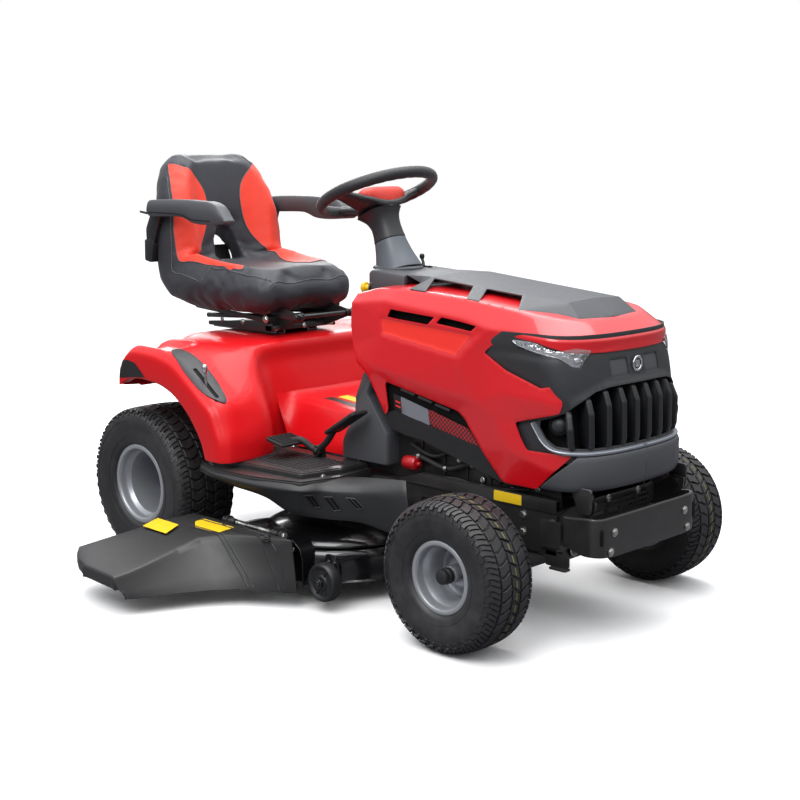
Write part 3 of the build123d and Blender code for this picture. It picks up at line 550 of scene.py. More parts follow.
# ---- from mesh to piece ----
def piece(name, mesh, look, body, replaces=(), skin=0.0, side=-1.0, bevel=0.0, steps=2,
          subdivide=0, sharp=32.0, outward=None, weld=0.02, limit=40.0):
    """Makes the object, thickens and bevels it, applies that, and ties it to its CAD body."""
    points, faces = mesh
    data = bpy.data.meshes.new(name)
    data.from_pydata([at(*p) for p in points], [], faces)
    looks = look if isinstance(look, (list, tuple)) else [look]
    for entry in looks:
        data.materials.append(MAT[entry])
    shape = bmesh.new()
    shape.from_mesh(data)
    if weld:
        bmesh.ops.remove_doubles(shape, verts=shape.verts, dist=weld / 1000)
    bmesh.ops.recalc_face_normals(shape, faces=shape.faces)
    if outward is not None:
        facing = sum((f.normal * f.calc_area() for f in shape.faces), Vector())
        if facing.dot(Vector(outward)) < 0:
            bmesh.ops.reverse_faces(shape, faces=shape.faces)
    shape.to_mesh(data)
    shape.free()
    data.shade_smooth()
    thing = bpy.data.objects.new(name, data)
    bpy.context.scene.collection.objects.link(thing)
    if skin:
        mod = thing.modifiers.new("skin", "SOLIDIFY")
        mod.thickness, mod.offset = skin / 1000, side
    if bevel:
        mod = thing.modifiers.new("edge", "BEVEL")
        mod.width, mod.segments, mod.limit_method = bevel / 1000, steps, "ANGLE"
        mod.angle_limit, mod.use_clamp_overlap = math.radians(limit), True
        mod.harden_normals = False
    if subdivide:
        mod = thing.modifiers.new("smooth", "SUBSURF")
        mod.levels = mod.render_levels = subdivide
    settle(thing, sharp)
    if replaces:
        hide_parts(*([replaces] if isinstance(replaces, str) else replaces))
    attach(thing, body)
    return thing


def settle(thing, sharp=32.0):
    """Applies the modifiers and sets the sharp edges."""
    if thing.modifiers:
        bpy.context.view_layer.update()
        graph = bpy.context.evaluated_depsgraph_get()
        data = bpy.data.meshes.new_from_object(thing.evaluated_get(graph))
        thing.modifiers.clear()
        thing.data = data
    thing.data.shade_smooth()
    if sharp < 180:
        thing.data.set_sharp_from_angle(angle=math.radians(sharp))


# ---- stage, light and camera ----
def stage():
    floor = bpy.data.meshes.new("floor")
    far = 14.0
    floor.from_pydata([(-far, -far, 0), (far, -far, 0), (far, far, 0), (-far, far, 0)], [], [(0, 1, 2, 3)])
    thing = bpy.data.objects.new("floor", floor)
    bpy.context.scene.collection.objects.link(thing)
    m = Nodes("floor")
    m.link(m.ramp(m.noise(0.6), [(0.3, srgb(250, 250, 250)), (0.7, srgb(255, 255, 255))]),
           m.bsdf.inputs["Base Color"])
    m.set(Roughness=0.9, Specular_IOR_Level=0.1)
    tree = m.material.node_tree
    dim, seen = tree.nodes.new("ShaderNodeBsdfDiffuse"), tree.nodes.new("ShaderNodeLightPath")
    dim.inputs["Color"].default_value = (0.16, 0.16, 0.17, 1.0)
    both_looks = tree.nodes.new("ShaderNodeMixShader")
    out = next(n for n in tree.nodes if n.bl_idname == "ShaderNodeOutputMaterial")
    m.link(seen.outputs["Is Camera Ray"], both_looks.inputs[0])
    m.link(dim.outputs[0], both_looks.inputs[1])
    m.link(m.bsdf.outputs[0], both_looks.inputs[2])
    m.link(both_looks.outputs[0], out.inputs["Surface"])
    floor.materials.append(m.material)


def area(name, spot, target, size, power, tall=None):
    light = bpy.data.lights.new(name, "AREA")
    light.energy, light.size = power, size
    if tall:
        light.shape, light.size_y = "RECTANGLE", tall
    thing = bpy.data.objects.new(name, light)
    bpy.context.scene.collection.objects.link(thing)
    thing.location = at(*spot)
    thing.rotation_mode = "QUATERNION"
    thing.rotation_quaternion = (at(*target) - at(*spot)).to_track_quat("-Z", "Y")


def lights():
    """A bright sky overhead that falls off to the sides, and soft boxes over the tractor."""
    world = bpy.data.worlds.new("studio")
    world.use_nodes = True
    tree = world.node_tree
    sky = tree.nodes["Background"]
    white, out = tree.nodes.new("ShaderNodeBackground"), tree.nodes["World Output"]
    white.inputs["Color"].default_value = (1.0, 1.0, 1.0, 1.0)
    place, split = tree.nodes.new("ShaderNodeTexCoord"), tree.nodes.new("ShaderNodeSeparateXYZ")
    span, seen = tree.nodes.new("ShaderNodeMapRange"), tree.nodes.new("ShaderNodeLightPath")
    mixed = tree.nodes.new("ShaderNodeMixShader")
    tree.links.new(place.outputs["Generated"], split.inputs[0])
    tree.links.new(split.outputs["Z"], span.inputs["Value"])
    span.inputs["From Min"].default_value, span.inputs["From Max"].default_value = 0.05, 0.95
    span.inputs["To Min"].default_value, span.inputs["To Max"].default_value = SKY_LOW, SKY_HIGH
    tree.links.new(span.outputs["Result"], sky.inputs["Strength"])
    sky.inputs["Color"].default_value = (0.97, 0.98, 1.0, 1.0)
    tree.links.new(seen.outputs["Is Camera Ray"], mixed.inputs[0])
    tree.links.new(sky.outputs[0], mixed.inputs[1])
    tree.links.new(white.outputs[0], mixed.inputs[2])
    tree.links.new(mixed.outputs[0], out.inputs["Surface"])
    bpy.context.scene.world = world
    area("key", (1500, -2600, 3000), (600, 0, 500), 2.0, 70)
    area("overhead", (500, 300, 3400), (600, 0, 500), 3.0, 90)
    area("rim", (-2200, 1800, 2200), (400, 0, 600), 1.8, 60)
    bpy.context.scene.view_settings.view_transform = "Standard"


SKY_LOW, SKY_HIGH = 0.22, 1.75


# The main view: the eye's place in the tractor's millimetres, its yaw, pitch and roll in degrees,
# and the lens and sensor in millimetres.
EYE = (3382.1, -2807.8, 1174.4)
VIEW_TURNS = (134.68, -9.849, -0.336)
LENS, SENSOR = 62.9, 36.0


def camera():
    yaw, pitch, roll = (math.radians(a) for a in VIEW_TURNS)
    ahead = Vector((math.cos(yaw) * math.cos(pitch), math.sin(yaw) * math.cos(pitch), math.sin(pitch)))
    right = Vector((math.sin(yaw), -math.cos(yaw), 0))
    up = right.cross(ahead)
    right, up = (math.cos(roll) * right + math.sin(roll) * up, -math.sin(roll) * right + math.cos(roll) * up)
    data = bpy.data.cameras.new("camera")
    data.lens, data.sensor_width = LENS, SENSOR
    thing = bpy.data.objects.new("camera", data)
    bpy.context.scene.collection.objects.link(thing)
    spin = Matrix((right, up, -ahead)).transposed().to_4x4()
    thing.matrix_world = Matrix.Translation(at(*EYE)) @ spin
    bpy.context.scene.camera = thing


# ---- hood: the plan is straight along the sides and rounds into the nose ----
NOSE = [(380, 1450), (470, 1447), (500, 1438), (640, 1424), (722, 1412), (800, 1408)]
HALF, CORNER, POWER = 236.0, 122.0, 2.6
FLAT, BEVEL_TOP, CENTRE = 700.0, 860.0, 1040.0     # v over z 700: up to the shoulder, the bevel, the centreline


def nose_line():
    """A quarter of the plan as (distance from the centreline, x behind the nose, y, outward x, outward y)."""
    rows, length, last = [], 0.0, None
    for k in range(161):
        angle = math.pi / 2 * k / 160
        x = CORNER * max(math.cos(angle), 0.0) ** (2 / POWER) - CORNER
        y = HALF * math.sin(angle) ** (2 / POWER)
        if last:
            length += math.dist(last, (x, y))
        last = (x, y)
        out = Vector((max(math.cos(angle), 1e-6) ** (2 - 2 / POWER) / CORNER,
                      max(math.sin(angle), 1e-6) ** (2 - 2 / POWER) / HALF)).normalized()
        rows.append((length, x, y, out.x, out.y))
    return rows


LINE = nose_line()
TURN = LINE[-1][0]


def girth(u):
    """(x behind the nose, y, outward x, outward y) at a distance round the plan from the centreline."""
    if u >= TURN:
        return -CORNER - (u - TURN), HALF, 0.0, 1.0
    for a, b in zip(LINE, LINE[1:]):
        if u <= b[0]:
            t = (u - a[0]) / (b[0] - a[0])
            return tuple(mix(a[i], b[i], t) for i in (1, 2, 3, 4))
    return LINE[-1][1:]


def front(y, z):
    """(u, z) of a point on the nose at that y."""
    return table([(row[2], row[0]) for row in LINE], abs(y)), z


def flank(x, z):
    """(u, z) of a point on the side at that x, in front of the corner too."""
    behind = x - table(NOSE, z)
    if behind < -CORNER:
        return TURN - CORNER - behind, z
    return table([(row[1], row[0]) for row in reversed(LINE)], behind), z


def skin_at(u, z, out=0.0, side=-1):
    """Point on the hood's plan at height z, pushed outwards; side -1 is the right."""
    x, y, nx, ny = girth(abs(u))
    return table(NOSE, z) + x + nx * out, side * (y + ny * out), z


SHOULDER = [(640, 788), (769, 803), (814, 797), (1036, 777), (1195, 757), (1290, 748), (1412, 742)]
TOP_EDGE = [(640, 812), (713, 830), (804, 836), (1040, 824), (1210, 806), (1290, 795), (1352, 783)]
SIDE_FORM = [
    [(560, 900, -24), (560, 250, -14), (1560, 250, -12), (1560, 900, -6), (560, 900, -24)],
    [(633, 734, -20), (644, 675, -17), (660, 624, -15)],
    [(640, 788, -22), (769, 803, -17), (1036, 777, -14), (1195, 757, -10), (1290, 748, -5), (1420, 744, -3)],
    [(664, 640, -9), (735, 625, 0), (848, 610, 0), (1037, 584, 0), (1102, 573, 0), (1166, 538, 0),
     (1214, 466, 0), (1335, 433, 0), (1400, 440, -2)],
    [(711, 602, -5), (734, 559, -9), (757, 522, -11), (773, 498, -12)],
    [(774, 589, -8), (1037, 540, -9), (1061, 522, -9), (1111, 454, -10), (1151, 404, -12), (1183, 378, -13),
     (1291, 378, -12), (1393, 471, -5)],
    [(752, 759, -12), (1088, 739, -9), (1036, 677, -2), (761, 712, -7), (752, 759, -12)],
    [(757, 754, -15), (1076, 735, -12), (1031, 683, -6), (766, 717, -11), (757, 754, -15)],
    [(1141, 760, -7), (1046, 671, 1), (1102, 573, 0)],
    [(1192, 747, -9), (1125, 697, -7), (1196, 662, -3), (1306, 629, -3), (1354, 638, -6)],
    [(1102, 573, 0), (1200, 606, 3), (1300, 600, 2), (1365, 593, -3)],
    [(1228, 537, -3), (1362, 572, -5)],
    [(1228, 537, -3), (1267, 473, -1), (1386, 476, -4)],
]


def shell_v(x, z):
    """v of a side point: z itself up to 700, then stretched so that the shoulder lies at 800."""
    return z if z <= FLAT else FLAT + 100 * (z - FLAT) / (table(SHOULDER, x) - FLAT)


def shell_place(form):
    def place(u, v):
        if v <= FLAT:
            z = v
        else:
            x = table(NOSE, 760) + girth(u)[0]
            z = mix(FLAT, table(SHOULDER, x), min(1.0, (v - FLAT) / 100))
        x = table(NOSE, z) + girth(u)[0]
        low = Vector(skin_at(u, z, form(x, z)))
        if v <= 800:
            return low
        behind, y, _, _ = girth(u)
        if u < TURN:
            inner_x, inner_y = 1352 + behind * 110 / CORNER, y * 194 / HALF
        else:
            inner_x = low.x - 44 * smooth((low.x - 700) / 586)
            inner_y = 194.0
        edge = Vector((inner_x, -inner_y, table(TOP_EDGE, inner_x)))
        if v <= BEVEL_TOP:
            return low.lerp(edge, (v - 800) / (BEVEL_TOP - 800))
        t = (v - BEVEL_TOP) / (CENTRE - BEVEL_TOP)
        middle = Vector((min(inner_x, 1240.0), 0.0, table(TOP_EDGE, min(inner_x, 1240.0)) + 5))
        return edge.lerp(middle, t) + Vector((0, 0, 5 * math.sin(math.pi * t / 2) * (1 - t)))
    return place


def side_point(x, z):
    u, _ = flank(x, z)
    return u, shell_v(x, z)


VENTS = [[(791, 782), (950, 772), (928, 751), (780, 760)], [(974, 774), (1096, 761), (1078, 746), (957, 757)]]


def hood_shell():
    form = relief(SIDE_FORM)
    corners = [front(0, 727), front(110, 729), front(190, 733), side_point(1290, 738), side_point(1192, 747)]
    for x, z, r in ((1125, 697, 6), (1196, 662, 10), (1306, 629, 4), (1352, 638, 4), (1366, 594, 8),
                    (1360, 572, 6), (1228, 537, 10), (1267, 473, 8), (1384, 476, 4), (1391, 470, 3),
                    (1291, 378, 10), (1183, 378, 12), (1111, 454, 20), (1061, 522, 20), (1037, 540, 16),
                    (774, 589, 14), (783, 512, 14), (773, 496, 8), (734, 559, 30), (711, 602, 24),
                    (664, 626, 14), (644, 675, 30), (633, 734, 40), (636, 786, 10)):
        corners.append((*side_point(x, z), r))
    rear_u = side_point(640, 786)[0]
    cut_u = side_point(752, 786)[0]
    corners += [(rear_u, 850, 10), (rear_u, 925, 8), (cut_u, 925, 8), (cut_u, CENTRE), (0, CENTRE)]
    holes = [rounded([side_point(x, z) for x, z in vent], 5) for vent in VENTS]
    lines = [[side_point(x, z) for x, z, _ in line] for line in SIDE_FORM[6:9]]
    lines += [[side_point(x, z) for x, z, _ in line] for line in
              (SIDE_FORM[3][1:7], [(1046, 671, 0), (1099, 578, 0)],
               [(1108, 575, 0), (1200, 606, 0), (1350, 594, 0)])]
    crease = [(side_point(x, 0)[0], 800) for x in range(660, 1290, 30)] + [(u, 800)
                                                                           for u in range(int(TURN), 0, -16)]
    lines += [crease, [(u, BEVEL_TOP) for u, _ in crease]]
    mesh = sheet(rounded(corners), shell_place(form), holes, lines, 9.0, soften=1)
    thing = piece("hood_panel", both(mesh), ["red_plastic", "red_flash"], "hood", "hood_shell",
                  skin=3.2, bevel=0.9, outward=(0, 0, 1), weld=0.4, sharp=50)
    # The recessed facet on each side of the hood takes the lighter red: a painted highlight where it faces the
    # light.
    painted_highlight_facet = [(757, 754), (1076, 735), (1031, 683), (766, 717)]
    recolour(thing, 1, lambda p: abs(p[1]) > 210 and inside((p[0], p[2]), painted_highlight_facet))
    # Near-black sheets 26 mm behind the vent holes: painted shade inside the vents.
    pocket = [[(772, 792), (962, 780), (940, 742), (764, 752)],
              [(950, 784), (1112, 768), (1090, 736), (940, 748)]]
    for index, vent in enumerate(pocket):
        vent_shade_sheet = sheet(rounded([side_point(x, z) for x, z in vent], 6),
                       lambda u, v: Vector(shell_place(form)(u, v)) + Vector((0, 26, 0)), spacing=14)
        piece(f"hood_vent_painted_shade_{index + 1}", both(vent_shade_sheet), "void", "hood", skin=2, bevel=0.4)


def recolour(thing, index, test):
    """Gives the faces whose middle passes the test another of the piece's materials."""
    for face in thing.data.polygons:
        c = face.center
        if test(((c.x - ORIGIN_X) * 1000, (c.y - ORIGIN_Y) * 1000, c.z * 1000)):
            face.material_index = index


def hood_cover():
    """Raised cover: a plate, bevelled flanks on three struts each side, and a bevelled front."""
    half = [(742, 116), (806, 121), (836, 195), (893, 195), (856, 121), (992, 119), (1036, 195), (1078, 195),
            (1037, 118), (1152, 115), (1205, 195), (1334, 118)]
    lines = [
        [(700, 118, 862), (846, 114, 863), (1289, 102, 823), (1289, 0, 826)],
        [(806, 122, 842), (836, 195, 839), (1036, 195, 827), (1205, 195, 809), (1334, 118, 786),
         (1346, 0, 785)],
        [(700, 0, 868), (846, 0, 867), (1289, 0, 826), (1346, 0, 785)],
        [(846, 114, 863), (836, 195, 839)], [(1289, 102, 823), (1334, 118, 786)],
        [(700, 118, 862), (700, 240, 835), (1380, 240, 770), (1400, 0, 740)],
    ]
    height = relief(lines)
    right = [(x, -y) for x, y in half]
    loop = rounded([(742, 0)] + right + [(1344, -60), (1347, 0)], 5)
    mesh = sheet(loop, lambda u, v: (u, v, height(u, -v) - (abs(v) / 110) ** 2 * 1.5 + 1.5),
                 lines=[[(p[0], -p[1]) for p in line] for line in (lines[0], lines[3], lines[4])], spacing=10)
    piece("hood_cover_panel", both(mesh), "grey_plastic", "hood", "hood_cover", skin=3.5,
          bevel=1.3, outward=(0, 0, 1), weld=0.4, sharp=24)
    edge = []
    for y0, y1 in ((-116, -40), (-40, 40), (40, 116)):
        edge.append(slab(rounded([(743, y0 + 2), (747, y0 + 2), (747, y1 - 2), (743, y1 - 2)], 1), 838, 860))
    piece("hood_cover_rear_ribs", joined(*edge), "dark_plastic", "hood", bevel=0.8)


ARCH = [(0, 633), (70, 633), (119, 631), (154, 623), (183, 606), (208, 586)]


def arch_loop():
    """Outline of the grille opening on one side, from the centreline over the arch and back along the trim."""
    top = [front(y, z) for y, z in ARCH] + [flank(1376, 575), flank(1338, 560), flank(1300, 549)]
    low = [flank(1298, 532), flank(1318, 507), flank(1350, 492), front(190, 488), front(0, 488)]
    return top + low


def fascia():
    lines = [
        [(0, 800, -9), (1200, 800, -9)], [(0, 722, -7), (1200, 722, -8)], [(0, 690, -3), (TURN, 690, -3)],
        [(*front(0, 648), 1), (*front(119, 646), 1), (*front(183, 622), 1), (*front(214, 600), -1),
         (*flank(1376, 588), -6), (*flank(1290, 560), -14), (*flank(1226, 540), -14)],
        [(*front(0, 633), 8), (*front(119, 631), 8), (*front(183, 606), 6), (*front(208, 586), 2),
         (*flank(1376, 575), -8)],
        [(*flank(1215, 480), -16), (*flank(1330, 462), -12), (*front(150, 462), -4), (*front(0, 462), -4)],
        [(0, 430, -4), (1200, 430, -16), (1200, 800, -9)],
        [(*flank(1110, 700), -12), (*flank(1300, 620), -12)],
    ]
    form = relief(lines)
    outline = [(0, 756), front(190, 756), flank(1290, 758), flank(1180, 756), flank(1100, 700),
               flank(1170, 640), flank(1210, 590), flank(1205, 520), flank(1245, 455), flank(1345, 452),
               front(190, 452), (0, 452)]
    hole = arch_loop()
    half = joined_half(outline, hole)
    lamp = rounded([lamp_point(p) for p in LAMP], 5)
    badge = rounded([front(34, 694), front(98, 694), front(98, 653), front(34, 653)], 3)
    mesh = sheet(half, lambda u, z: skin_at(u, z, form(u, z)), [lamp, badge],
                 [[p[:2] for p in lines[3]], [(0, 722), (TURN, 722)]], 8.0, soften=1)
    piece("hood_fascia_panel", both(mesh), "dark_plastic", "hood", "hood_fascia",
          skin=3.5, bevel=1.1, outward=(1, 0, 0), weld=0.4, sharp=40)
    plate = sheet(rounded([front(32, 696), front(100, 696), front(100, 651), front(32, 651)], 3),
                  lambda u, z: skin_at(u, z, form(u, z) - 2.5), spacing=12)
    piece("hood_fascia_insets", both(plate), "grey_plastic", "hood", skin=2, bevel=0.5, outward=(1, 0, 0))
    # Near-black sheet 46 mm behind the grille fins: painted shade of the space behind the grille.
    back = [front(0, 650), front(150, 650), flank(1376, 640), flank(1290, 620), flank(1225, 590),
            flank(1225, 500), flank(1300, 470), front(190, 470), front(0, 470)]
    screen = sheet(back, lambda u, z: skin_at(u, z, -46), spacing=18)
    piece("grille_screen_shade", both(screen), "void", "hood", skin=2, bevel=0.4, weld=0.4)


def joined_half(outline, hole):
    """Half outline with the grille opening, which reaches the centreline, taken out of it."""
    return rounded([*outline[:1], *outline[1:-1], outline[-1], *reversed(hole)], 2)


LAMP = [(1215, 738), (1278, 738), (1347, 719), (-190, 727), (-150, 720), (-168, 703), (-183, 681),
        (-200, 684), (1352, 704), (1285, 715), (1232, 727)]


def lamp_point(p):
    """Corner of the lamp: (y, z) on the front where y is negative, else (x, z) on the flank."""
    return front(p[0], p[1]) if p[0] < 0 else flank(p[0], p[1])


def headlamps():
    loop = rounded([lamp_point(p) for p in LAMP], 5)
    form = relief([[(0, 650, -14), (1200, 650, -14), (1200, 760, -14), (0, 760, -14), (0, 650, -14)],
                   [(*flank(1240, 733), -5), (*flank(1300, 728), -16), (*front(222, 714), -7),
                    (*front(196, 708), -18), (*front(176, 716), -6), (*front(158, 716), -12)]])
    bowl = sheet(loop, lambda u, z: skin_at(u, z, form(u, z)), spacing=5)
    piece("lamp_reflectors", both(bowl), "chrome", "hood", skin=1.5, outward=(1, 0, 0), sharp=12)
    lens = sheet(loop, lambda u, z: skin_at(u, z, -3.0 + 2.5 * math.sin(clamp((z - 684) / 50) * math.pi)),
                 spacing=6)
    piece("lamp_lenses", both(lens), "lens", "hood", "headlamps", skin=2.0, bevel=0.6,
          outward=(1, 0, 0))
    beads = []
    for spot, radius in ((front(187, 697), 9.0), (front(214, 714), 6.5), (flank(1340, 716), 6.0),
                         (flank(1312, 721), 5.5), (flank(1286, 726), 5.0), (flank(1262, 730), 4.5)):
        centre = skin_at(*spot, -10)
        _, _, nx, ny = girth(spot[0])
        ball = revolve([(0.0, radius * 0.62), (radius * 0.5, radius * 0.5), (radius * 0.86, radius * 0.2),
                        (radius, -radius * 0.2), (radius * 1.1, -radius * 0.5), (0.0, -radius * 0.5)],
                       (0, 0, 0), "z", 20)
        beads.append(aimed(ball, centre, (nx, -ny, 0)))
    piece("lamp_projectors", both(joined(*beads)), "chrome", "hood")
    lid = []
    for k in range(9):
        x = 1232 + k * 13
        a, b = skin_at(*flank(x, 736 - k * 1.5), -4), skin_at(*flank(x + 2, 715 + k * 0.2), -9)
        lid.append(tube([a, b], 0.9, 6))
    piece("lamp_dividers", both(joined(*lid)), "dark_plastic", "hood")


def arch_at(u):
    return table([(front(y, 0)[0], z) for y, z in ARCH] + [(flank(1376, 575)[0], 575),
                                                           (flank(1300, 549)[0], 549)], u)


def grille():
    fins = []
    for k in range(5):
        u = 25 + 50 * k
        x, y, nx, ny = girth(u)
        top = arch_at(u) + 3
        line = rounded([(-44, 488), (2, 488), (10, 503), (17, top - 44), (6, top - 12), (-8, top - 2),
                        (-44, top - 2)],
                       4, 3)
        rings = []
        for across, inset in ((-8, 4.0), (-5, 0.0), (5, 0.0), (8, 4.0)):
            ring = []
            for d, z in line:
                depth = d - inset if d > -40 else d
                base = table(NOSE, z) + x + nx * depth - ny * across
                ring.append((base, -(y + ny * depth + nx * across), z if z < top - 20 else z - inset * 0.5))
            rings.append(ring)
        fins.append(loft(rings))
    piece("grille_fins", both(joined(*fins)), "black_plastic", "hood", "grille", bevel=0.8,
          sharp=35)
    lamp = []
    spot = flank(1352, 540)
    x, y, nx, ny = girth(spot[0])
    profile = [(0, 7), (9, 5.5), (17, 1), (20, 1), (21, 3), (25, 2), (26, -8), (0, -8)]
    lamp = aimed(revolve(profile, (0, 0, 0), "z", 28), skin_at(*spot, -26), (nx, -ny, 0))
    piece("fog_lamps", both(lamp), "void", "hood", bevel=0.4)
    dome = aimed(revolve([(0, 8.5), (8, 7.2), (16, 2.8), (18, 0), (0, 0)], (0, 0, 0), "z", 24),
                 skin_at(*spot, -24), (nx, -ny, 0))
    piece("fog_lenses", both(dome), "dark_plastic", "hood")


def trim():
    """Silver strip that runs along the lower edge of the grille and turns up at its ends."""
    path = [flank(1286, 541), flank(1296, 527), flank(1318, 500), flank(1350, 483), front(205, 478),
            front(150, 477), front(75, 477), front(0, 477)]
    fine = curve([(u, z, 0) for u, z in path], 8)
    rings = []
    for u, z, _ in fine:
        rings.append([skin_at(u, z + dz, out)
                      for out, dz in ((-20, 4), (-2, 4.5), (5, 3), (6, 0), (3, -5), (-20, -5))])
    piece("grille_trim", both(loft(rings)), "trim_silver", "hood", bevel=0.8, weld=0.3)


def bumper_band():
    """Thick band round the nose under the grille, with the ears that the hood tips on."""
    rings = []
    count = 60
    for k in range(count + 1):
        t = k / count
        top_u, low_u = flank(1401, 472)[0] * t, flank(1306, 386)[0] * t
        ring = []
        for z, out in ((470, -24), (471, -1), (468, 5), (458, 8), (425, 7.5), (400, 5), (388, 0), (384, -7),
                       (384, -24)):
            ring.append(skin_at(mix(low_u, top_u, (z - 384) / 87), z, out))
        rings.append(ring)
    right = loft(rings)
    ear = slab(rounded([(1404, 333), (1436, 333), (1440, 345), (1440, 396), (1376, 396)], 8), -204, -197, "y")
    thing = piece("bumper_band_skin", both(joined(right, ear)), ["grey_plastic", "black_steel"], "hood",
                  "bumper_band", bevel=1.5, weld=0.3, sharp=40)
    recolour(thing, 1, lambda p: p[2] < 382)


def side_window():
    """Louvred window low in the hood's side: a recess lined with near-black as painted shade, a printed strip
    and the shield below it.
    """
    form = relief(SIDE_FORM)

    def behind(depth):
        return lambda u, z: skin_at(u, z, form(table(NOSE, z) + girth(u)[0], z) - depth)

    def strip(points, depth, name, look, spacing=16, skin=2.0, round_by=4):
        loop = rounded([flank(x, z) for x, z in points], round_by)
        piece(name, both(sheet(loop, behind(depth), spacing=spacing)), look, "hood", skin=skin, bevel=0.6)

    # Near-black sheet 16 mm behind the skin: painted shade in the window's recess.
    strip([(764, 596), (1040, 548), (1072, 524), (1122, 448), (798, 500), (770, 500)], 16, "window_recess_shade",
          "void")
    strip([(797, 557), (826, 551), (829, 505), (801, 509)], 7, "window_strip_end", "label_black")
    strip([(826, 552), (925, 529), (931, 488), (829, 505)], 6, "window_strip_plate", "trim_silver")
    strip([(925, 530), (1062, 498), (1106, 452), (931, 489)], 6.5, "window_strip_film", "check_film")
    strip([(806, 540), (824, 536), (824, 532), (806, 536)], 6, "window_strip_line_1", "red_flash", 8, 1.2, 1)
    strip([(806, 528), (824, 524), (824, 520), (806, 524)], 6, "window_strip_line_2", "red_flash", 8, 1.2, 1)
    strip([(768, 500), (800, 512), (1108, 455), (1151, 402), (1183, 374), (900, 446), (838, 450), (782, 464)],
          5, "hood_side_shield", "black_plastic", 16, 3, 8)
    slats = []
    for k in range(3):
        x, z = 830 + k * 62, 574 - k * 13
        slats.append(slab(rounded([(x, z - 4), (x + 50, z - 14), (x + 52, z - 8), (x + 2, z + 2)], 2), -226,
                          -214, "y"))
    piece("window_slats", both(joined(*slats)), "dark_plastic", "hood", bevel=0.8)


def emblem():
    """Plain ring on the nose."""
    x = table(NOSE, 676) + 1.0
    ring = revolve([(13.5, 0), (13.5, 3.0), (15, 4.0), (18.5, 4.0), (20, 3.0), (20, 0)], (x, 0, 676), "x", 40)
    bar = slab(rounded([(-9, 667), (9, 667), (9, 685), (-9, 685)], 7), x, x + 2.5, "x")
    piece("nose_emblem", joined(ring, bar), "chrome", "hood", bevel=0.4)


MAKERS = [hood_shell, hood_cover, fascia, headlamps, grille, trim, bumper_band, side_window, emblem]


# ---- wheels ----
FRONT = dict(x=1200.0, y=412.0, r=190.0, rim=80.0, lip=91.0, half=62.0, wide=77.0, hub=57.0, cap=18.5,
             pitches=40, disc=-22.0, body="front_wheel", node="front")
REAR = dict(x=0.0, y=398.0, r=228.0, rim=106.0, lip=118.5, half=88.0, wide=102.5, hub=70.0, cap=27.0,
            pitches=46, disc=-30.0, body="rear_wheel", node="rear")


def carcass_line(w):
    """Outer profile of the tyre from one bead over the crown to the other, as (radius, along)."""
    r, wide, half, rim = w["r"] - 5.5, w["wide"], w["half"], w["rim"]
    side = [
        (rim + 0.5, half - 6), (rim + 8, half - 4.6), (w["lip"] + 1, half - 2), (w["lip"] + 6, half + 3),
        (w["lip"] + 14, wide - 8), (mix(w["lip"], r, 0.42), wide - 1.5), (mix(w["lip"], r, 0.60), wide - 0.5),
        (r - 20, wide - 5), (r - 8, wide - 14), (r - 3.2, wide - 26), (r - 0.8, wide * 0.42), (r, 0),
    ]
    full = side + [(a, -b) for a, b in reversed(side[:-1])]
    return [(p[0], p[1]) for p in curve([(a, b, 0) for a, b in full], 5)]


def tread_map(w):
    """Outer half of the tyre as (length from the crown's middle, radius, along, outward radius and along)."""
    line = carcass_line(w)
    middle = len(line) // 2
    rows, length = [], 0.0
    for i in range(middle, 0, -1):
        (r0, a0), (r1, a1) = line[i], line[i - 1]
        across = Vector((a1 - a0, r0 - r1)).normalized()
        rows.append((length, r0, a0, abs(across.x), across.y))
        length += math.dist((r0, a0), (r1, a1))
    return rows


def on_tread(w, rows, s, t, out):
    """Point on the right tyre: s mm across the tread, t of a turn round it, out mm above the carcass."""
    k = abs(s)
    row = [table([(q[0], q[i]) for q in rows], k) for i in (1, 2, 3, 4)]
    radius, along = row[0] + row[2] * out, abs(row[1]) + row[3] * out
    turn = 2 * math.pi * t
    side = 1 if s >= 0 else -1
    return (w["x"] + radius * math.cos(turn), -(w["y"] + side * along), w["r"] + radius * math.sin(turn))


def tread_block(w, rows, s0, s1, t0, t1, wave, high=5.5, cuts=3):
    """One lug whose front and rear edges follow the wave across the tread."""
    near = [(mix(s0, s1, k / cuts), t0) for k in range(cuts + 1)]
    far = [(mix(s0, s1, k / cuts), t1) for k in range(cuts, -1, -1)]
    pitch = 1 / w["pitches"]
    rings = []
    middle_s, middle_t = (s0 + s1) / 2, (t0 + t1) / 2
    for out, shrink in ((-1.5, 0.0), (high - 0.9, 0.05), (high, 0.12)):
        ring = []
        for s, t in near + far:
            s, t = mix(s, middle_s, shrink), mix(t, middle_t, shrink)
            bend = wave * math.sin(2 * math.pi * s / 58.0)
            ring.append(on_tread(w, rows, s, (t + bend) * pitch, out))
        rings.append(ring)
    return loft(rings)


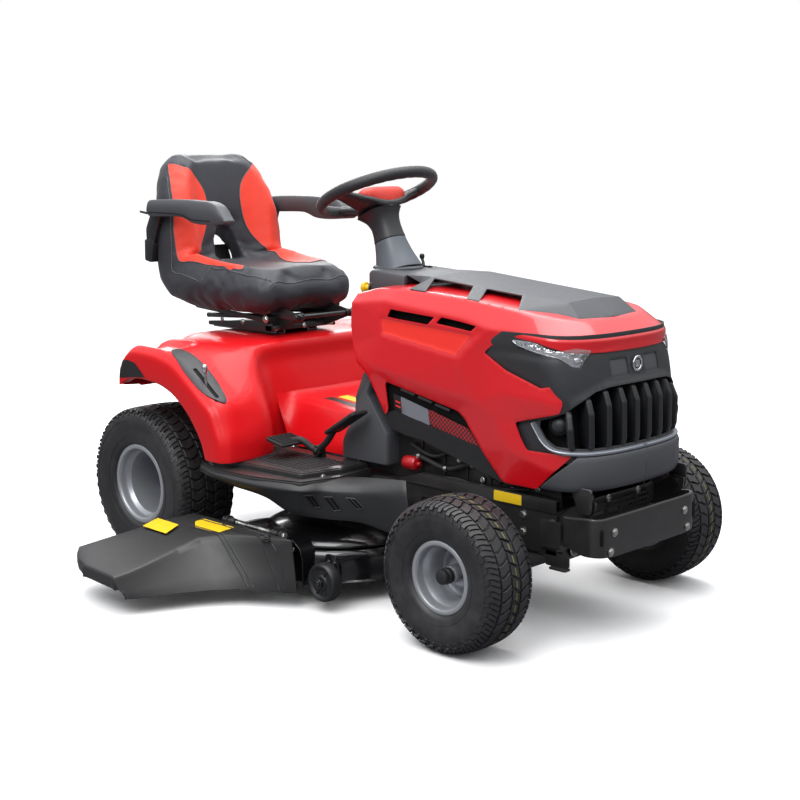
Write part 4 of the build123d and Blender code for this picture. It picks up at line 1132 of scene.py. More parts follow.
def tyre(w):
    line = carcass_line(w)
    inner = [(w["rim"] + 0.5, -(w["half"] - 14)), (w["lip"] + 20, -(w["half"] - 10)),
             (w["lip"] + 20, w["half"] - 10), (w["rim"] + 0.5, w["half"] - 14)]
    profile = [(a, -b) for a, b in line] + inner[::-1]
    base = revolve(profile, (w["x"], -w["y"], w["r"]), "y", 96)
    rings = []
    for share in (0.22, 0.66):
        radius = mix(w["lip"], w["r"], share)
        spot = table(sorted((a, b) for a, b in line if b > 0 and a < w["r"] - 16), radius)
        for side in (-1, 1):
            bead = [(radius - 1.2, side * (spot - 1)), (radius - 0.6, side * (spot + 0.9)),
                    (radius + 0.6, side * (spot + 0.9)), (radius + 1.2, side * (spot - 1))]
            rings.append(revolve(bead, (w["x"], -w["y"], w["r"]), "y", 96))
    rows = tread_map(w)
    edge = w["wide"] * 0.62
    blocks, marks = [], []
    for k in range(w["pitches"]):
        blocks.append(tread_block(w, rows, -13, 13, k, k + 0.78, 0.22))
        for side in (-1, 1):
            late = 0.5 if side > 0 else 0.0
            blocks.append(tread_block(w, rows, side * 17, side * edge, k + late, k + late + 0.80, 0.22))
            blocks.append(tread_block(w, rows, side * (edge + 4), side * (edge + 24), k + late + 0.12,
                                      k + late + 0.50, 0.22))
            blocks.append(tread_block(w, rows, side * (edge + 4), side * (edge + 31), k + late + 0.60,
                                      k + late + 1.02, 0.22))
            blocks.append(tread_block(w, rows, side * (edge + 27), side * (edge + 40), k + late + 0.16,
                                      k + late + 0.40, 0.22, 2.6, 1))
        marks.append(tread_block(w, rows, -1.4, 1.0, k + 0.08, k + 0.70, 0.22, 5.9, 1))
    for side, end in (("right", lambda m: m), ("left", mirrored)):
        body = f'{w["body"]}_{side}'
        piece(f'{w["node"]}_tyre_carcass_{side}', end(joined(base, *rings)), "tyre", body, sharp=40)
        piece(f'{w["node"]}_tyre_tread_{side}', end(joined(*blocks)), "tyre", body,
              f'{w["node"]}_tyre_{side}', sharp=28)
        if w is FRONT:
            piece(f'{w["node"]}_tyre_marks_{side}', end(joined(*marks)), "tyre_mark", body, sharp=28)


def rim(w):
    """Drop-centre rim: rolled lips, two steps down to the well, a dished disc, the hub and its cap."""
    rim_r, lip, half, disc = w["rim"], w["lip"], w["half"], w["disc"]
    deep = rim_r - 15
    barrel = [
        (rim_r - 0.5, half - 1), (rim_r + 5, half + 0.6), (lip - 0.6, half - 1.6), (lip, half - 4.5),
        (lip - 3, half - 6.5), (rim_r + 3, half - 5.5), (rim_r, half - 9), (rim_r - 1, half - 22),
        (rim_r - 9, half - 33), (rim_r - 9.5, 0), (rim_r - 9, -half + 33), (rim_r - 1, -half + 22),
        (rim_r, -half + 9), (rim_r + 3, -half + 5.5), (lip - 3, -half + 6.5), (lip, -half + 4.5),
        (lip - 0.6, -half + 1.6), (rim_r - 1, -half + 1), (rim_r - 4, -half + 20), (deep + 1, -half + 34),
        (deep, disc - 6), (deep, 4), (deep + 1, half - 36), (rim_r - 6, half - 27), (rim_r - 4, half - 22),
        (rim_r - 3.6, half - 10), (rim_r - 2.5, half - 5),
    ]
    plate = [
        (deep + 2, disc - 1), (deep - 5, disc - 5), (deep * 0.82, disc - 4), (deep * 0.70, disc + 4),
        (deep * 0.60, disc + 10), (deep * 0.5, disc + 13), (26, disc + 13), (20, disc + 13), (20, disc + 9),
        (deep * 0.5, disc + 9), (deep * 0.60, disc + 6), (deep * 0.68, disc), (deep * 0.80, disc - 8),
        (deep + 2, disc - 6),
    ]
    hub_half = w["hub"] - 11
    hub_r = w["cap"] + 3.5
    hub = [(10.5, -hub_half), (hub_r, -hub_half), (hub_r + 1.5, -hub_half + 4), (hub_r, disc + 4),
           (hub_r, hub_half - 26), (hub_r - 1.5, hub_half - 22), (10.5, hub_half - 22)]
    cap_r, tip = w["cap"], w["hub"]
    cap = [(0.0, tip), (cap_r * 0.7, tip), (cap_r - 1, tip - 2.5), (cap_r, tip - 6), (cap_r, tip - 13),
           (cap_r - 1.6, tip - 14.5), (cap_r - 1.6, tip - 16), (cap_r + 1.2, tip - 18),
           (cap_r + 1.6, tip - 28), (cap_r - 3, tip - 34), (0.0, tip - 34)]
    centre = (w["x"], -w["y"], w["r"])

    def turned_right(profile, steps=72):
        return revolve([(a, -b) for a, b in profile], centre, "y", steps)

    if w["node"] == "rear":
        plate = [(deep + 2, -40), (deep - 8, -46), (deep * 0.8, -50), (deep * 0.62, -46), (deep * 0.5, -40),
                 (40, -38), (22, -38), (13, -38), (13, -43), (40, -43), (deep * 0.5, -46), (deep * 0.62, -52),
                 (deep * 0.8, -56), (deep - 8, -52), (deep + 2, -46)]
        hub = [(12.8, -66), (24, -66), (26, -62), (26, -40), (24, -30), (12.8, -30)]
        cap = [(0.0, -10), (9, -10), (12, -13), (12, -22), (20, -23), (22, -25), (22, -29), (0.0, -29)]
        disc = -44
    metal = joined(turned_right(barrel, 96), turned_right(plate, 96), turned_right(hub))
    stem_at = deep - 1
    angle = math.radians(8)
    root = Vector((centre[0] + stem_at * math.cos(angle), centre[1] - 12,
                   centre[2] + stem_at * math.sin(angle)))
    inward = Vector((-math.cos(angle), -0.85, -math.sin(angle))).normalized()
    stem = joined(tube([root, root + inward * 8, root + inward * 9, root + inward * 22, root + inward * 23,
                        root + inward * 31], [6.5, 5.0, 3.6, 3.2, 4.4, 4.2], 14))
    weld_bead = []
    for k in range(0, 360, 6):
        t = math.radians(k)
        weld_bead.append(Vector((centre[0] + (deep - 0.5) * math.cos(t), centre[1] - disc + 3.2,
                                 centre[2] + (deep - 0.5) * math.sin(t))))
    seam = tube(weld_bead + weld_bead[:1], [1.9 + 0.5 * (k % 2) for k in range(len(weld_bead) + 1)], 8,
                caps=False)
    for side, end in (("right", lambda m: m), ("left", mirrored)):
        body = f'{w["body"]}_{side}'
        thing = piece(f'{w["node"]}_rim_disc_{side}', end(joined(metal, seam)), ["silver_paint", "rim_painted_shade"],
                      body, f'{w["node"]}_rim_{side}', bevel=0.7, sharp=40)
        # On the rear rims the disc and hub inside the well take the darker silver: painted shade in the deep
        # dish.
        if w is REAR:
            recolour(thing, 1, lambda p: math.hypot(p[0] - centre[0], p[2] - centre[2]) < deep - 2)
        piece(f'{w["node"]}_hub_cap_{side}', end(turned_right(cap)), "rubber", body, bevel=0.5)
        piece(f'{w["node"]}_valve_{side}', end(stem), "rubber", body, bevel=0.3)


def wheels():
    for w in (FRONT, REAR):
        tyre(w)
        rim(w)


MAKERS += [wheels]


# ---- rear body ----
BODY_STATIONS = [
    (0,
     [(-118, 500), (-117, 570), (-108, 622), (-72, 646), (0, 650), (70, 650), (140, 650), (200, 649),
      (246, 644), (262, 628), (265, 590), (281, 540), (300, 470), (310, 354)]),
    (-150, [(-118, 500), (-117, 570), (-108, 622), (-72, 646), (0, 650), (70, 650), (140, 650), (200, 649),
            (246, 644), (262, 628), (265, 590), (281, 540), (299, 468), (309, 354)]),
    (-215, [(-117, 500), (-116, 570), (-107, 622), (-71, 645), (0, 649), (70, 649), (140, 649), (200, 647),
            (248, 642), (264, 624), (268, 584), (284, 530), (298, 462), (308, 354)]),
    (-250, [(-112, 501), (-110, 570), (-99, 614), (-62, 639), (2, 645), (70, 646), (140, 645), (200, 642),
            (250, 636), (270, 615), (284, 572), (306, 518), (328, 450), (340, 354)]),
    (-278, [(-104, 503), (-102, 568), (-90, 610), (-54, 634), (6, 642), (72, 644), (140, 643), (198, 638),
            (252, 622), (286, 594), (314, 552), (344, 500), (362, 430), (370, 354)]),
    (-315, [(-92, 506), (-90, 566), (-76, 608), (-44, 634), (10, 644), (74, 647), (140, 646), (198, 634),
            (256, 610), (306, 573), (350, 530), (388, 470), (403, 410), (408, 354)]),
    (-380,
     [(-80, 510), (-78, 564), (-62, 606), (-32, 636), (14, 650), (75, 653), (146, 648), (206, 628),
      (266, 592), (326, 548), (374, 508), (402, 456), (420, 408), (426, 354)]),
    (-440,
     [(-70, 514), (-68, 562), (-54, 602), (-28, 632), (14, 647), (75, 649), (146, 645), (210, 626),
      (276, 586), (336, 542), (382, 507), (408, 456), (426, 408), (432, 354)]),
    (-478,
     [(-64, 518), (-61, 560), (-48, 596), (-24, 625), (13, 641), (72, 642), (144, 637), (210, 619),
      (275, 579), (335, 536), (380, 503), (405, 455), (424, 410), (431, 354)]),
    (-494,
     [(-58, 522), (-55, 556), (-43, 590), (-20, 617), (12, 632), (70, 633), (141, 627), (206, 609),
      (269, 569), (328, 527), (370, 495), (395, 449), (414, 406), (421, 354)]),
]
ARCH_EDGE = [(-44, 524), (-42, 527), (-36, 530), (-24, 536), (4, 545), (46, 549), (92, 547), (140, 541),
             (186, 527), (228, 504), (268, 472), (300, 436), (326, 398), (342, 354)]


def tray_depth(x, y):
    """Recess in the top of each fender, towards the rear."""
    along = smooth((x + 62) / 16) * smooth((168 - x) / 70)
    across = smooth((-y - 352) / 40) * smooth((476 + y) / 12)
    return 24 * along * across


TREES = {}


def surface_tree(thing):
    bpy.context.view_layer.update()
    return BVHTree.FromPolygons([v.co.copy() for v in thing.data.vertices],
                                [tuple(f.vertices) for f in thing.data.polygons])


def cast(tree, start, way, lift):
    """Where a line from a point meets a surface, lifted off it by some millimetres."""
    spot, normal, _, _ = tree.ray_cast(Vector(at(*start)), Vector(way))
    if spot is None:
        spot, normal, _, _ = tree.find_nearest(Vector(at(*start)))
    if normal.dot(Vector(way)) > 0:
        normal = -normal
    spot = spot + normal * (lift / 1000)
    return (spot.x - ORIGIN_X) * 1000, (spot.y - ORIGIN_Y) * 1000, spot.z * 1000


VENT_PLANE = -420


def seen_on(tree, x, z, lift):
    """Carries a point of the plane y = VENT_PLANE onto a surface, along the main view's line of sight."""
    eye = Vector(EYE)
    return cast(tree, tuple(eye), (Vector((x, VENT_PLANE, z)) - eye).normalized(), lift)


def rear_body():
    """Seat platform, both fenders and their arch lips as one skin."""
    face = [(x, z) for x, z in BODY_STATIONS[-1][1]]
    stations = list(BODY_STATIONS)
    stations.append((-504, [(mix(a[0], b[0], 0.16), mix(a[1], b[1], 0.16)) for a, b in zip(face, ARCH_EDGE)]))
    stations.append((-505, [(mix(a[0], b[0], 0.60), mix(a[1], b[1], 0.60)) for a, b in zip(face, ARCH_EDGE)]))
    stations.append((-503, [(mix(a[0], b[0], 0.94), mix(a[1], b[1], 0.94)) for a, b in zip(face, ARCH_EDGE)]))
    stations.append((-497, ARCH_EDGE))
    stations.append((-478, ARCH_EDGE))
    rows = []
    for y, line in stations:
        rows.append([(p[0], y, p[2]) for p in curve([(x, 0, z) for x, z in line], 5)])
    columns = [curve([row[k] for row in rows], 4) for k in range(len(rows[0]))]
    rings = [[column[r] for column in columns] for r in range(len(columns[0]))]
    points, faces = loft(rings, caps=False, closed=False)
    points = [(x, y, z - tray_depth(x, y)) for x, y, z in points]
    thing = piece("rear_body", both((points, faces)), "red_fender", "chassis", "rear_fender",
                  skin=4.0, bevel=1.2, weld=0.5, outward=(0, 0, 1), sharp=60)
    TREES["body"] = surface_tree(thing)


def tunnel():
    """Centre tunnel from the platform to the console, with its label, and the rear panel."""
    line = [(262, 600), (280, 524), (312, 484), (400, 481), (500, 472), (592, 464)]
    rows = []
    for x, z in [(p[0], p[2]) for p in curve([(a, 0, b) for a, b in line], 6)]:
        drop = clamp((x - 290) / 60)
        rows.append([(x, y, mix(z, h, drop)) for y, h in
                     ((0, z + 2), (-60, z + 2), (-122, z + 1), (-141, z - 3), (-151, z - 13),
                      (-160, mix(z, 354, 0.3)), (-186, 388), (-196, 353))])
    mesh = loft(rows, caps=False, closed=False)
    piece("centre_tunnel", both(mesh), "red_fender", "chassis", skin=3.5, bevel=1.0, weld=0.5,
          outward=(0, 0, 1), sharp=60)
    labels = []
    for x0, x1, y0, y1 in ((400, 560, -122, -76), (412, 548, -62, -24)):
        top = lambda u, v: (u, v,
                            table(line, u) + 4.0 - clamp((-v - 60) / 44) * 2.0 - clamp((-v - 104) / 26) * 7)
        labels.append(sheet(rounded([(x0, y0), (x1, y0), (x1, y1), (x0, y1)], 4), top, spacing=16))
    piece("tunnel_label_dark", labels[0], "label_black", "chassis", skin=0.6, outward=(0, 0, 1))
    piece("tunnel_label_yellow", labels[1], "label_yellow", "chassis", skin=0.6, outward=(0, 0, 1))
    back = rounded([(-400, 500), (400, 500), (392, 540), (300, 584), (180, 600), (-180, 600), (-300, 584),
                    (-392, 540)], 14)
    piece("rear_panel", slab(back, -112, -106, "x"), "red_fender", "chassis", bevel=2)
    rib = [slab(rounded([(y, 510), (y + 60, 510), (y + 60, 590), (y, 590)], 8), -115, -111, "x")
           for y in (-160, -30, 100)]
    piece("rear_panel_ribs", joined(*rib), "red_fender", "chassis", bevel=1.5)


def fender_details():
    """Tray in the corner of each fender with its floor in a darker red as painted shade, the dark band at the
    rear, and the lever plate on the right.
    """
    def on_top(lift):
        return lambda u, v: cast(TREES["body"], (u, v, 900), (0, 0, -1), lift)

    # Darker red sheet on each tray's floor: painted shade in the recess.
    floor = rounded([(-44, -400), (70, -400), (96, -420), (96, -450), (70, -463), (-44, -463)], 14, 5)
    piece("fender_tray_floor_shade", both(sheet(floor, on_top(0.5), spacing=9)), "red_dark", "chassis", skin=0.8)
    leaf = [(152, -464), (176, -480), (236, -491), (300, -491), (346, -484), (374, -466), (380, -452),
            (366, -440), (322, -430), (262, -427), (206, -434), (162, -448)]
    loop = rounded(leaf, 16, 5)
    slot = rounded([(258, -472), (360, -471), (360, -459), (258, -460)], 5)
    piece("lever_plate_leaf", sheet(loop, on_top(3.2), [slot], spacing=7), "dark_plastic", "chassis",
          "lever_plate", skin=3.0, bevel=1.0, outward=(0, 0, 1))
    # Near-black sheet under the lever's slot: painted shade in the slot.
    piece("lever_slot_shade",
          sheet(rounded([(250, -478), (368, -477), (368, -453), (250, -454)], 4), on_top(0.6),
                spacing=10), "void", "chassis", skin=0.8, outward=(0, 0, 1))
    band = rounded([(-50, 542), (-46, 580), (-34, 596), (-8, 600), (30, 594), (58, 572), (74, 556),
                    (20, 552)],
                   5)
    beside = sheet(band, lambda u, v: cast(TREES["body"], (u, -560, v), (0, 1, 0), 0.6), spacing=9)
    piece("fender_bands", both(beside), "label_black", "chassis", skin=0.6, side=0.0, bevel=0.0)


def foot_boards():
    """Boards with ribbed mats and bolts, and the skirts below them with slanted vents, each vent a near-black
    patch of painted shade in a raised lip.
    """
    outline = rounded([(294, -212, 2), (296, -459, 6), (661, -432, 7), (690, -304, 10), (690, -212, 2)], 4)
    board = joined(slab(outline, 322, 350), slab([(296 + (x - 480) * 0.975 + 184, -212 + (y + 212) * 0.97)
                                                 for x, y in outline], 350, 352.5))
    step = rounded([(298, -212, 2), (298, -486, 6), (380, -508, 30), (540, -500, 40), (686, -455, 16),
                    (718, -339, 20), (706, -212, 2)], 6)
    frame_lip = joined(slab(step, 312, 334), slab([((x - 500) * 0.985 + 500, (y + 212) * 0.985 - 212)
                                                   for x, y in step], 334, 338))
    mat = rounded([(296, -246, 4), (340, -404, 4), (652, -420, 8), (660, -392, 6), (652, -262, 8),
                   (560, -244, 4)], 5)
    pad = slab(mat, 349, 353.5)
    ribs = []
    for k in range(11):
        y = -396 + 13.5 * k
        x0 = table([(-404, 350), (-246, 312)], y)
        ribs.append(slab(rounded([(x0, y), (640, y - 4), (640, y + 1), (x0, y + 5)], 1.5), 353, 355.6))
    cross = []
    for k in range(3):
        x = 420 + 90 * k
        cross.append(slab(rounded([(x, -404), (x + 4, -404), (x + 4, -252), (x, -252)], 1.5), 353, 355.0))
    for side, end in (("right", lambda m: m), ("left", mirrored)):
        piece(f"foot_board_deck_{side}", end(joined(board, frame_lip)), "black_steel", "chassis",
              f"foot_board_{side}", bevel=1.5, sharp=35)
        piece(f"foot_mat_{side}", end(joined(pad, *ribs, *cross)), "rubber", "chassis", bevel=0.6, sharp=35)
        piece(f"foot_board_bolts_{side}", end(joined(bolt((680, -368, 336), (0.97, -0.2, 0), 6.5, 4.5),
                                                     bolt((318, -462, 339), (0, -1, 0), 5, 4))), "zinc",
              "chassis")
    top = [(300, -476, 332), (400, -500, 331), (540, -494, 330), (672, -456, 330), (706, -376, 332),
           (730, -330, 338), (800, -310, 344), (912, -290, 350)]
    fold = [(300, -488, 324), (400, -512, 322), (544, -506, 318), (684, -466, 316), (722, -400, 316),
            (780, -356, 320), (850, -330, 322), (930, -306, 324)]
    low = [(304, -480, 308), (408, -502, 306), (552, -497, 302), (676, -462, 302), (724, -404, 298),
           (796, -358, 292), (866, -330, 276), (946, -310, 250)]
    hem = [(310, -462, 298), (420, -480, 292), (560, -472, 280), (640, -450, 246), (718, -400, 234),
           (798, -352, 230), (868, -326, 214), (944, -306, 196)]
    lines = [curve(p, 6) for p in (top, fold, low, hem)]
    cols = [curve([line[k] for line in lines], 4) for k in range(len(lines[0]))]
    rows = [[col[r] for col in cols] for r in range(len(cols[0]))]
    skirt = loft(rows, caps=False, closed=False)
    right = piece("side_skirt_right", skirt, "black_plastic", "chassis", skin=4, bevel=1.2,
                  weld=0.3, outward=(0, -1, 0), sharp=45)
    piece("side_skirt_left", mirrored(skirt), "black_plastic", "chassis", skin=4, bevel=1.2,
          weld=0.3, outward=(0, 1, 0), sharp=45)
    tree = surface_tree(right)
    # Each vent is a near-black patch laid on the skirt: painted shade in place of an opening.
    vents, frames = [], []
    for loop in ([(662, 292), (697, 298), (728, 272), (700, 265)],
                 [(735, 300), (774, 306), (807, 278), (777, 270)],
                 [(821, 312), (857, 316), (892, 296), (864, 289)]):
        vent = rounded(loop, 4, 4)
        vents.append(sheet(vent, lambda u, v: seen_on(tree, u, v, 0.5), spacing=8))
        hem = [seen_on(tree, u, v, 0.6) for u, v in divided(vent, 6)]
        frames.append(tube(hem + hem[:1], 1.8, 8, caps=False))
        middle = [((loop[0][0] + loop[1][0]) / 2, (loop[0][1] + loop[1][1]) / 2),
                  ((loop[2][0] + loop[3][0]) / 2, (loop[2][1] + loop[3][1]) / 2)]
        frames.append(tube([seen_on(tree, u, v, 0.8) for u, v in divided(middle, 6, closed=False)], 1.6, 8))
    for side, end in (("right", lambda m: m), ("left", mirrored)):
        piece(f"skirt_vent_shade_{side}", end(joined(*vents)), "void", "chassis", skin=0.7, side=0.0)
        piece(f"skirt_vent_lips_{side}", end(joined(*frames)), "black_plastic", "chassis", weld=0.1)


def pedals():
    """Rocker pedal with its two pads on the right and the brake pedal on the left."""
    def pad(centre, size, tilt, teeth):
        length, width = size
        plate = slab(rounded([(-length / 2, -width / 2), (length / 2, -width / 2), (length / 2, width / 2),
                              (-length / 2, width / 2)], 9), -4, 4)
        rows = []
        for k in range(teeth):
            x = mix(-length / 2 + 7, length / 2 - 7, k / (teeth - 1))
            rows.append(loft([[(x - 3, y, 3.5), (x + 3, y, 3.5), (x + 1, y, 8), (x - 1, y, 8)]
                              for y in (-width / 2 + 5, width / 2 - 5)]))
        flat = joined(plate, *rows)
        points = [turned(p, (0, 0, 0), -tilt) for p in flat[0]]
        return [tuple(Vector(p) + Vector(centre)) for p in points], flat[1]

    arm = tube(curve([(468, -300, 394), (500, -286, 400), (540, -268, 376), (580, -266, 400),
                      (618, -264, 448)], 8),
               [9.5] * 33, 12)
    hub = revolve([(7, -12), (15, -12), (15, 12), (7, 12)], (546, -262, 374), "y", 24)
    piece("drive_pedal_rocker",
          joined(pad((664, -268, 468), (134, 60), 31, 13), pad((468, -312, 398), (72, 96), -10, 7),
                 arm, hub), "rubber", "drive_pedal_body", "drive_pedal", bevel=1.0)
    stop = tube(curve([(546, 268, 376), (580, 268, 404), (622, 270, 448)], 8), 7.5, 12)
    left_hub = revolve([(7, -12), (15, -12), (15, 12), (7, 12)], (546, 262, 374), "y", 24)
    piece("brake_pedal_pad", joined(pad((640, 272, 470), (92, 90), 38, 8), stop, left_hub), "rubber",
          "brake_pedal_body", "brake_pedal", bevel=1.0)
    post = joined(slab(rounded([(532, 349), (560, 349), (556, 388), (536, 388)], 5), -256, -246, "y"),
                  tube([(546, -250, 374), (546, -277, 374)], 6, 16), bolt((546, -277, 374), (0, -1, 0), 7, 4))
    piece("pedal_posts", both(post), "black_steel", "chassis", bevel=0.8)


def lift_lever():
    bar = tube(curve([(312, -466, 430), (312, -466, 500), (311, -466, 560), (308, -466, 596)], 6), 4.2, 12)
    knob = revolve([(0, 0), (5, 0), (7.5, 4), (8.5, 12), (8, 20), (5.5, 25), (0, 26.5)], (307.5, -466, 588),
                   "z", 24)
    eye = revolve([(7.05, -8), (13, -8), (13, 8), (7.05, 8)], (312, -466, 430), "y", 24)
    piece("lift_lever_bar", joined(bar, knob, eye), "chrome", "lift_lever_body", "lift_lever",
          bevel=0.3)


MAKERS += [rear_body, tunnel, fender_details, foot_boards, pedals, lift_lever]


# ---- seat ----
# One row per station of the bucket, from the cushion's nose to the top of the back: x, z of its middle,
# the lean of its face in degrees, half thickness, half width and height of the bolsters.
BUCKET = [
    (262, 782, 0, 12, 118, 0), (257, 783, 0, 28, 146, 0), (244, 784, 0, 39, 172, 0),
    (216, 785, 0, 45, 196, 0), (170, 785, 0, 46, 215, 4), (106, 784, 1, 46, 230, 12),
    (34, 783, 2, 45, 240, 22), (-32, 783, 5, 44, 244, 34), (-92, 787, 14, 42, 244, 44),
    (-155, 800, 34, 42, 240, 50), (-196, 830, 58, 40, 236, 52), (-212, 880, 76, 36, 232, 52),
    (-222, 944, 80, 34, 230, 50), (-230, 1004, 80, 33, 222, 47), (-241, 1066, 78, 32, 210, 40),
    (-252, 1122, 76, 30, 194, 30), (-262, 1168, 75, 28, 172, 20), (-268, 1198, 75, 22, 146, 12),
    (-271, 1211, 75, 10, 118, 6),
]
REAR_DEPTH = [(0, 1.0), (7, 1.05), (9, 1.25), (12, 1.5), (15, 1.6), (18, 1.6)]


def bucket_station(s):
    """Row of BUCKET at a fractional station, with the unit normal towards the driver."""
    k = int(clamp(s, 0, len(BUCKET) - 1.001))
    x, z, lean, half, width, bolster = (mix(a, b, s - k) for a, b in zip(BUCKET[k], BUCKET[k + 1]))
    a = math.radians(lean)
    return x, z, half, width, bolster, math.sin(a), math.cos(a)


def bucket_at(s, f, out=0.0):
    """Point of the bucket's face at station s and at the fraction f of its half width."""
    x, z, half, width, bolster, nx, nz = bucket_station(s)
    lift = half + bolster * smooth((abs(f) - 0.42) / 0.44)
    lift = lift - (half + bolster) * 0.5 * max(0.0, abs(f) - 0.93) / 0.07
    crown = 5.0 * (1 - (f / 0.45) ** 2) if abs(f) < 0.45 else 0.0
    lift += crown + out
    return x + nx * lift, f * width, z + nz * lift


def bucket_mesh(inset):
    rings = []
    for k in range(2 * len(BUCKET) - 1):
        s = k / 2
        x, z, half, width, bolster, nx, nz = bucket_station(s)
        ring = []
        for f in (0, 0.15, 0.3, 0.42, 0.52, 0.62, 0.72, 0.82, 0.9, 0.95, 0.985):
            ring.append(bucket_at(s, f, -inset))
        side = [(1.0, 0.25 * (half + bolster)), (1.0, -half * 0.35), (0.98, -half * 0.8), (0.94, -half),
                (0.6, -half), (0.3, -half), (0, -half)]
        for f, n in side:
            n = n * table(REAR_DEPTH, s) + inset if n < 0 else n
            ring.append((x + nx * n, f * (width - inset * 0.5), z + nz * n))
        back = [(p[0], -p[1], p[2]) for p in reversed(ring[1:-1])]
        rings.append(ring + back)
    return loft(rings)


PANEL_INNER = [(5.2, 0.52), (6.2, 0.47), (7.0, 0.50), (7.8, 0.55), (8.6, 0.60), (9.2, 0.62), (9.8, 0.61),
               (10.5, 0.58), (11.1, 0.52), (11.6, 0.43), (12.1, 0.36), (12.7, 0.32), (13.3, 0.31),
               (13.9, 0.34), (14.4, 0.42), (14.8, 0.53), (15.2, 0.67), (15.5, 0.82), (15.65, 0.90)]
PANEL_OUTER = [(15.65, 0.92), (15.0, 0.92), (14.0, 0.92), (13.0, 0.92), (12.0, 0.92), (11.0, 0.91),
               (10.0, 0.90), (9.0, 0.87), (8.0, 0.83), (7.0, 0.80), (6.0, 0.78), (4.9, 0.76), (5.0, 0.68),
               (5.1, 0.60)]


def bucket_seams():
    """Lines of the seams, as (station, fraction) pairs."""
    panel = [(p[0], p[2])
             for p in curve([(s, 0.0, f) for s, f in PANEL_INNER + PANEL_OUTER + PANEL_INNER[:1]], 6)]
    edge = [(s / 4, 0.945) for s in range(8, 70)]
    front = [(2.6, f / 24) for f in range(-23, 24)]
    return [panel, [(s, -f) for s, f in panel], edge, [(s, -f) for s, f in edge], front]


def cut_arch(thing):
    """Cuts the arched opening at the foot of the back."""
    loop = [(-62, 834), (62, 834), (58, 868), (49, 902), (32, 926), (0, 938), (-32, 926), (-49, 902),
            (-58, 868)]
    points, faces = slab(rounded(loop, 6), -260, 0, "x")
    data = bpy.data.meshes.new("arch_cutter")
    data.from_pydata([at(*p) for p in points], [], faces)
    cutter = bpy.data.objects.new("arch_cutter", data)
    bpy.context.scene.collection.objects.link(cutter)
    mod = thing.modifiers.new("arch", "BOOLEAN")
    mod.operation, mod.object, mod.solver = "DIFFERENCE", cutter, "EXACT"
    apply_modifiers(thing)
    bpy.data.objects.remove(cutter)


def apply_modifiers(thing):
    graph = bpy.context.evaluated_depsgraph_get()
    graph.update()
    fresh = bpy.data.meshes.new_from_object(thing.evaluated_get(graph))
    old = thing.data
    thing.modifiers.clear()
    thing.data = fresh
    bpy.data.meshes.remove(old)


def puff(thing, pressure, cap_mm, voxel):
    """Remeshes a form and lets cloth under pressure crown its faces."""
    mod = thing.modifiers.new("voxels", "REMESH")
    mod.mode, mod.voxel_size = "VOXEL", voxel / 1000
    apply_modifiers(thing)
    start = [v.co.copy() for v in thing.data.vertices]
    mod = thing.modifiers.new("cloth", "CLOTH")
    cloth = mod.settings
    cloth.use_pressure, cloth.uniform_pressure_force = True, pressure
    cloth.quality, cloth.mass = 5, 0.4
    cloth.tension_stiffness = cloth.compression_stiffness = 20
    cloth.shear_stiffness, cloth.bending_stiffness = 8, 1.2
    cloth.effector_weights.gravity = 0
    scene = bpy.context.scene
    mod.point_cache.frame_start, mod.point_cache.frame_end = 1, 20
    for frame_no in range(1, 21):
        scene.frame_set(frame_no)
        graph = bpy.context.evaluated_depsgraph_get()
    shape = [v.co.copy() for v in thing.evaluated_get(graph).data.vertices]
    thing.modifiers.clear()
    scene.frame_set(1)
    for vertex, a, b in zip(thing.data.vertices, start, shape):
        step = b - a
        if step.length > cap_mm / 1000:
            step = step.normalized() * cap_mm / 1000
        vertex.co = a + step


def groove(thing, lines, depth, reach):
    """Pulls the surface in along seams."""
    spots = [p for line in lines for p in line]
    tree = KDTree(len(spots))
    for k, p in enumerate(spots):
        tree.insert(Vector(at(*p)), k)
    tree.balance()
    normals = [v.normal.copy() for v in thing.data.vertices]
    for vertex, normal in zip(thing.data.vertices, normals):
        gap = tree.find(vertex.co)[2] * 1000
        if gap < reach * 3:
            vertex.co = vertex.co - normal * (depth / 1000 * math.exp(-(gap / reach) ** 2))


def bucket():
    """The seat's padding: cushion and back in one bucket, crowned by a cloth simulation."""
    thing = piece("seat_padding", bucket_mesh(5.0), "vinyl_dark", "seat",
                  ("seat_cushion", "seat_back"), weld=0.5)
    cut_arch(thing)
    puff(thing, 4.0, 24.0, 8.0)
    mod = thing.modifiers.new("relax", "SMOOTH")
    mod.factor, mod.iterations = 0.5, 6
    mod = thing.modifiers.new("finer", "SUBSURF")
    mod.levels = mod.render_levels = 1
    apply_modifiers(thing)
    seams = bucket_seams()
    groove(thing, [[bucket_at(s, f, 2.0) for s, f in line] for line in seams], 3.4, 5.0)
    thing.data.materials.clear()
    thing.data.materials.append(MAT["vinyl_dark"])
    thing.data.shade_smooth()
    bpy.context.view_layer.update()
    tree = surface_tree(thing)

    def on_seat(s, f, lift):
        """Point of the finished padding seen square on from in front of it."""
        near, far = Vector(bucket_at(s, f, 0)), Vector(bucket_at(s, f, 34))
        return cast(tree, tuple(far), tuple((near - far).normalized()), lift)

    loop = [(p[0], p[2]) for p in curve([(s, 0.0, f) for s, f in PANEL_INNER], 4)]
    loop += [(p[0], p[2]) for p in curve([(s, 0.0, f) for s, f in PANEL_OUTER], 4)]
    for side, sign in (("right", -1), ("left", 1)):
        def place(u, v):
            return on_seat(u / 50, sign * v / 240, 2.0)
        flat = sheet([(s * 50, f * 240) for s, f in loop], place, spacing=5)
        panel = piece(f"seat_panel_{side}", flat, "vinyl_red", "seat", skin=2.2, weld=0.1)
    threads = []
    for line in seams:
        path = [on_seat(s, f, 1.0) for s, f in line]
        threads.append(tube(path, 1.3, 6))
    piece("seat_piping", joined(*threads), "thread", "seat", weld=0.05)


